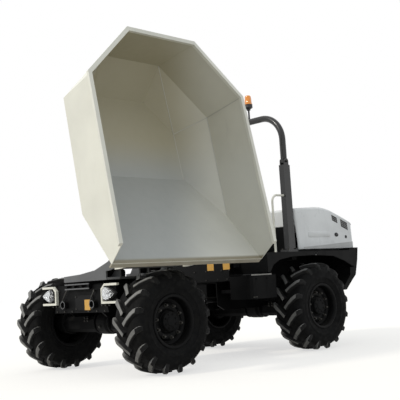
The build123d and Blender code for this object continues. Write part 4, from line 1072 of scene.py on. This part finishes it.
def make_weld_seams():
    seams = Shape()
    for s in (1, -1):
        floor = (-1.016, s * 0.735, 0.0)
        side = (-1.110, s * 0.998, 0.337)
        for a, b in ((floor, (-0.439, s * 0.735, 0.0)), (floor, side), (side, (0.079, s * 0.998, 0.303)),
                     (side, (-1.131, s * 1.036, 0.881)), (floor, (-1.690, s * 0.395, 0.337))):
            a = on_skip(*a)
            b = on_skip(*b)
            steps = max(6, int((b - a).length / 0.012))
            seams.tube([a.lerp(b, i / steps) for i in range(steps + 1)], SEAM_R, 6)
    seams.make("skip_weld_seams", "skip_weld", "skip", smooth=True)


make_front_fittings()
make_axle_fittings("front", FRONT, 0.0, 0.292)
make_axle_fittings("rear", REAR, -2.470, 0.322)
bolt_set("axle_drain_plug", FRONT, ([(0.133, 0.0, 0.49)], ALONG, 0.024, 0.010))
make_slewing_fittings()
make_weld_seams()


# ---------------- middle and rear fittings
def make_middle_fittings():
    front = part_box("footwell")[1][0] - ZERO.x + 0.0002
    labels = Shape()
    for y in (0.226, 0.496):
        sticker(labels, at(front, y, 1.044), ACROSS, 0.112, 0.136, (0.001, 0, 0), 0.008)
    labels.make("bare_labels_footwell", "yellow", REAR)
    bolt_set("footwell_bolts", REAR,
             ([(front, y, 1.036) for y in (0.344, 0.600, 0.205, 0.470, -0.3, -0.55, 0.0)], ALONG, 0.015, 0.009),
             ([(front, y, 0.930) for y in (-0.56, -0.40, -0.2, 0.0, 0.2, 0.40, 0.56)], ALONG, 0.013, 0.008))
    # greased pin head above the centre joint
    pin = Shape()
    pin.lathe(mm((0, 34), (10, 34), (14, 28), (14, 10), (20, 8), (24, 4)),
              at(-1.2, 0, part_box("centre_link")[1][2] - 0.0005), UP, 28)
    pin.make("centre_pin_cap", "zinc", REAR, smooth=True)


def make_tank_fittings(name, side):
    wide = reach_of("tank_" + name, side)
    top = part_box("tank_" + name)[1][2]
    # the step's raised grips and bright edge
    grips = Shape()
    for i in range(15):
        for j in range(3):
            grips.lathe(mm((-1, 8.5), (2.5, 7.5), (3, 5.5), (1.2, 4.5)),
                        at(-1.400 - i * 0.0215, side * (0.790 + j * 0.050), top), UP, 10)
    grips.make("step_grips_" + name, "frame", REAR)
    row = [(0.0, -0.014), (0.0025, -0.013), (0.0030, -0.002), (0.0010, 0.0012), (-0.006, 0.0012), (-0.006, 0.0)]
    edge = Shape()
    edge.rings([[at(x, side * (wide - 0.004 + out), top + up) for out, up in row] for x in (-1.376, -1.729)])
    edge.make("step_edge_" + name, "frame_light", REAR)
    straps = Shape()
    for x in (-1.47, -1.66):
        path = [(0.62, 0.6815), (0.62, 0.6795), (wide - 0.010, 0.6795), (wide + 0.0008, 0.690),
                (wide + 0.0008, 0.935), (wide - 0.002, 0.935), (wide - 0.002, 0.6815)]
        straps.prism([at(x, side * y, z) for y, z in path], (0.032, 0, 0))
        straps.bolt(at(x + 0.016, side * (wide + 0.0008), 0.915), (0, side, 0), 0.013, 0.007)
    straps.make("tank_straps_" + name, "dark", REAR, bevel=0.0005)
    spots = [(x, side * (wide - 0.0005), 0.705) for x in (-1.388, -1.405, -1.43, -1.445)]
    bolt_set("tank_bolts_" + name, REAR, (spots, (0, side, 0), 0.013, 0.006), bevel=0.0005)
    # plate behind the step
    plate = Shape()
    sticker(plate, at(-1.430, side * 0.6005, 1.062), (-1, 0, 0), 0.20, 0.092, (0, side * 0.004, 0), 0.012)
    plate.make("side_plate_" + name, "dark_worn", REAR, bevel=0.001)


def make_fender_fittings(name, side):
    """A round reflector low on the fender's edge, and the rolled lip round the wheel's arch."""
    wide = reach_of("fender_" + name, side)
    disc = Shape()
    disc.lathe(mm((-4, 26), (-1, 26), (0, 24), (0, 20), (-0.8, 19)),
               (ZERO.x - 2.452, outside("fender_" + name, side), 1.186), (0, side, 0), 28)
    disc.make("fender_reflector_" + name, "clear", REAR, smooth=True)
    arch = [Vector(p) for p in mm((-1575, 985), (-1640, 1070), (-1760, 1125), (-1980, 1156), (-2400, 1166),
                                  (-2800, 1150), (-3050, 1078), (-3200, 1010))]
    path = [a.lerp(b, i / 4) for a, b in zip(arch, arch[1:]) for i in range(4)]
    lip = Shape()
    lip.tube([at(p.x, side * (wide - 0.0055), p.y) for p in path + arch[-1:]], 0.0055, 10)
    lip.make("fender_lip_" + name, "dark", REAR, smooth=True)


def make_rear_fittings():
    feet = [(x, s * 0.775 + dy, 1.252) for s in (1, -1) for x in (-2.352, -2.210) for dy in (-0.050, 0.050)]
    bolt_set("rollover_bolts", REAR, (feet, UP, 0.019, 0.012),
             *[([(-2.300, s * 0.775 + out * 0.051, 2.372) for s in (1, -1)], (0, out, 0), 0.022, 0.010)
               for out in (1, -1)])
    pin = Shape()
    x = -3.392
    pin.lathe(mm((0, 28), (6, 28), (10, 24), (10, 14.5)), at(x, 0, 0.7002), UP, 24)
    pin.tube([at(x, 0, 0.612), at(x, 0, 0.715)], 0.0135, 20)
    turns = [radians(-60 + 15 * i) for i in range(21)]
    pin.tube([at(x + 0.030 * cos(a), 0, 0.728 + 0.026 * sin(a)) for a in turns], 0.004, 10)
    pin.make("tow_pin", "zinc_dull", REAR, smooth=True)


make_middle_fittings()
for name, side in SIDES:
    make_tank_fittings(name, side)
    make_fender_fittings(name, side)
make_rear_fittings()


# ---------------- seat and controls
SEAM_ACROSS = 0.52         # where the sewn channels lie, as a share of half the pad's width


def cushion(name, outline, y_half, bulge):
    """A crowned pad: its outline in the XZ plane pushed across, with sides that pull in and sewn channels."""
    steps = 28
    n = len(outline)
    cx = sum(p[0] for p in outline) / n
    cz = sum(p[1] for p in outline) / n
    rows = []
    for k in range(steps + 1):
        v = -1 + 2 * k / steps
        swell = sqrt(1 - v ** 4)
        size = 0.80 + 0.20 * swell
        if abs(abs(v) - SEAM_ACROSS) < 0.02:
            size *= 0.985
        y = y_half * v * (1 - 0.02 * (1 - swell))
        rows.append([at(cx + (x - cx) * size, y, cz + (z - cz) * size) for x, z in outline])
    pad = Shape()
    pad.rings(rows)
    obj = pad.make(name, "vinyl", REAR, smooth=True)
    fine = obj.modifiers.new("round", "SUBSURF")
    fine.levels = 1
    fine.render_levels = 1
    applied(obj)
    # bulge of the stuffing, least along the seams
    for v in obj.data.vertices:
        across = (v.co.y - ZERO.y) / y_half
        channel = 1 - 0.55 * max(0.0, 1 - abs(abs(across) - SEAM_ACROSS) / 0.05)
        v.co += Vector(bulge) * (max(0.0, 1 - across * across) * channel)
    return obj


def make_seat():
    low, high = [corner - ZERO for corner in box_of("seat")]
    half = high.y - 0.012
    base = rounded([(high.x - 0.005, low.z + 0.012), (high.x - 0.002, low.z + 0.098), (-2.250, low.z + 0.090),
                    (-2.262, low.z + 0.012)], 0.030, 4)
    back = rounded(mm((-2246, 1530), (-2298, 1886), (-2334, 1894), (-2340, 1870), (-2318, 1530)), 0.022, 4)
    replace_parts(cushion("seat_cushion", base, half, (0, 0, 0.004)), "seat")
    cushion("seat_back", back, half - 0.010, (0.006, 0, 0))
    for name, side in SIDES:
        path = [at((x + 2.09) * 0.955 - 2.09, side * half * 0.935, (z - 1.47) * 0.92 + 1.47) for x, z in base]
        piping = Shape()
        piping.tube(path + path[:1], 0.0045, 8)
        piping.make("seat_piping_" + name, "vinyl", REAR, smooth=True)
    pan = Shape()
    pan.box(at(-2.325, -0.215, 1.4200), at(-1.945, 0.215, 1.4340))
    pan.prism([at(x, y, z) for x, y, z in ((-2.322, -0.06, 1.432), (-2.322, 0.06, 1.432), (-2.330, 0.06, 1.62),
                                           (-2.330, -0.06, 1.62))], (-0.010, 0, 0))
    pan.make("seat_pan", "dark", REAR, bevel=0.003, segments=2)
    slides = Shape()
    for s in (-1, 1):
        slides.box(at(-2.300, s * 0.15 - 0.018, 1.4203), at(-1.960, s * 0.15 + 0.018, 1.4290))
    handle = ((-1.950, -0.10, 1.424), (-1.915, -0.10, 1.420), (-1.915, 0.10, 1.420), (-1.950, 0.10, 1.424))
    slides.tube([at(*point) for point in handle], 0.006, 10)
    slides.make("seat_slides", "zinc_dull", REAR, bevel=0.0008)


def make_steering_wheel():
    """Padded rim on three spokes, with a hub, a column top and a turning knob."""
    centre = at(-1.872, 0, 1.930)
    tilt = Vector((-sin(radians(24)), 0, cos(radians(24))))
    other = Vector(ACROSS)
    side = tilt.cross(other).normalized()
    grip = Shape()
    grip.lathe([(0.0125 * cos(a), 0.1795 + 0.0125 * sin(a)) for a in places(14)], centre, tilt, 72, loop=True)
    for turn in (90, 210, 330):
        a = radians(turn)
        out = side * cos(a) + other * sin(a)
        wide = tilt.cross(out).normalized()
        grip.rings([[centre + out * r + wide * (w * cos(b)) + tilt * (h * sin(b) - 0.002) for b in places(12)]
                    for r, w, h in ((0.020, 0.020, 0.010), (0.060, 0.015, 0.006), (0.120, 0.012, 0.005),
                                    (0.172, 0.014, 0.007))])
    grip.lathe(mm((-22, 30), (-18, 34), (6, 34), (12, 31), (15.5, 22), (16, 2)), centre, tilt, 36)
    grip.lathe(mm((-150, 21), (-60, 21), (-55, 26), (-20, 26)), centre, tilt, 28)
    grip.lathe(mm((0, 8), (10, 9), (16, 19), (28, 23), (38, 19), (42, 8)),
               centre + side * 0.150 + tilt * 0.012, tilt, 24)
    grip.make("steering_wheel_grip", "black_plastic", REAR, smooth=True, replaces="steering_wheel")


def make_dash():
    """Dials and switches on the console's sloping top."""
    top = at(-1.700, 0, 1.830)
    down = (at(-1.820, 0, 1.790) - top).normalized()
    up = Vector((down.z, 0, -down.x))
    dash = Shape()
    faces = Shape()
    for y in (-0.085, 0.0, 0.085):
        root = top + down * 0.055 + Vector((0, y, 0))
        dash.lathe(mm((0, 33), (4, 33), (6, 30), (4, 28)), root, up, 32)
        faces.lathe(mm((0.8, 27), (1.8, 27)), root, up, 28)
        pointer = root + up * 0.0022
        tip = pointer + Vector((0, 0.020, 0)) - down * 0.004
        faces.prism([pointer - down * 0.002, pointer + down * 0.002, tip], up * 0.0006)
    for y in (-0.165, -0.135, 0.135, 0.165):
        root = top + down * 0.045 + Vector((0, y, 0))
        switch = mm((-9, -13), (9, -13), (9, 13), (-9, 13))
        dash.prism([root + Vector((0, across, 0)) + down * along for across, along in switch], up * 0.006)
    dash.make("console_dials", "black_plastic", REAR, bevel=0.0008)
    faces.make("dial_faces", "bonnet", REAR)


def make_lever(name, side):
    """A bent lever with a gaiter and a knob."""
    root = at(-1.955, side * 0.315, 1.212)
    bend = root + Vector((0.010, 0, 0.30))
    end = bend + Vector((0.060, -side * 0.01, 0.13))
    lever = Shape()
    lever.lathe(mm((0, 45), (10, 45), (14, 36), (24, 39), (32, 29), (42, 32), (50, 21), (60, 22), (68, 11)),
                root, (0.03, 0, 1), 28)
    lever.tube([root, root * 0.5 + bend * 0.5, bend, bend * 0.5 + end * 0.5 + Vector((-0.006, 0, 0.004)), end],
               0.0075, 12)
    lever.lathe(mm((-4, 12), (2, 17), (20, 21), (36, 21), (46, 15), (50, 3)), end, (0.35, 0, 1), 24)
    lever.make("lever_" + name, "black_plastic", REAR, smooth=True)


def make_pedals():
    """Three sloping pads with cross ribs, on round stems."""
    pedals = Shape()

    def slab(corner, width, rise, push):
        wide = Vector((0, width, 0))
        rise = Vector(rise)
        pedals.prism([corner, corner + wide, corner + wide + rise, corner + rise], push)

    for y in (-0.30, 0.24, 0.34):
        corner = at(-1.600, y - 0.035, 0.960)
        slab(corner, 0.070, (0.060, 0, 0.085), (0.010, 0, -0.007))
        for i in range(5):
            slab(corner + Vector((0.010 * i + 0.004, 0.004, 0.0142 * i + 0.008)), 0.062, (0.003, 0, 0.0045),
                 (-0.003, 0, 0.002))
        pedals.tube([at(-1.540, y, 0.912), at(-1.560, y, 0.975)], 0.009, 10)
    pedals.make("pedals", "black_plastic", REAR, bevel=0.001)


make_seat()
make_steering_wheel()
make_dash()
for name, side in SIDES:
    make_lever(name, side)
make_pedals()

# ---------------- camera, light and floor
LENS_MM = 71.8
SENSOR_MM = 36.0
eye = at(5.476, 7.224, 0.914)
look = Vector((-0.69238, -0.71425, 0.10229))
right = look.cross(Vector((0.02697, 0.11605, 0.99288))).normalized()
camera_up = right.cross(look).normalized()
camera = new_object("camera", bpy.data.cameras.new("camera"))
camera.data.lens = LENS_MM
camera.data.sensor_width = SENSOR_MM
camera.data.clip_end = 200.0
camera.matrix_world = Matrix.Translation(eye) @ Matrix((right, camera_up, -look)).transposed().to_4x4()
bpy.context.scene.camera = camera


def seen_directly(t):
    """1 for the camera's rays and for reflected and transmitted ones."""
    path = t.add("ShaderNodeLightPath")
    seen = path.outputs["Is Camera Ray"]
    for kind in ("Is Glossy Ray", "Is Transmission Ray"):
        seen = t.math("MAXIMUM", seen, path.outputs[kind])
    return seen


def backdrop_material(name, ambient):
    """White where the camera or a reflection sees it, and a plain pale surface for the light."""
    material = bpy.data.materials.new(name)
    t = Nodes(material)
    diffuse = t.add("ShaderNodeBsdfDiffuse", {"Color": (0.42, 0.40, 0.36)})
    glow = t.add("ShaderNodeEmission", {"Strength": t.math("MULTIPLY", seen_directly(t), ambient)})
    both = t.add("ShaderNodeAddShader", {0: diffuse.outputs[0], 1: glow.outputs[0]})
    t.add("ShaderNodeOutputMaterial", {"Surface": both.outputs[0]})
    return material


world = bpy.data.worlds.new("studio")
bpy.context.scene.world = world
t = Nodes(world)
sky = t.add("ShaderNodeBackground", {"Color": (0.90, 0.95, 1.0), "Strength": 0.82})
white = t.add("ShaderNodeBackground", {"Color": (1.0, 1.0, 1.0), "Strength": 1.0})
pick = t.add("ShaderNodeMixShader", {0: seen_directly(t), 1: sky.outputs[0], 2: white.outputs[0]})
t.add("ShaderNodeOutputWorld", {"Surface": pick.outputs[0]})

FLOOR_HALF = 60.0
corners = [(u * FLOOR_HALF, v * FLOOR_HALF, 0) for u, v in ((-1, -1), (1, -1), (1, 1), (-1, 1))]
floor_mesh = bpy.data.meshes.new("floor")
floor_mesh.from_pydata(corners, [], [(0, 1, 2, 3)])
floor_mesh.materials.append(backdrop_material("floor_white", 0.62))
floor = new_object("floor", floor_mesh)
floor.location.z = -0.001

lamp = bpy.data.lights.new("sun_from_the_front", "SUN")
lamp.energy = 1.5
lamp.angle = radians(8)
lamp.color = (1.0, 0.965, 0.9)
sun = new_object("sun_from_the_front", lamp)
sun.rotation_euler = (-Vector((1.0, -0.25, 0.75))).to_track_quat("-Z", "Y").to_euler()

bpy.context.scene.view_settings.view_transform = "Standard"
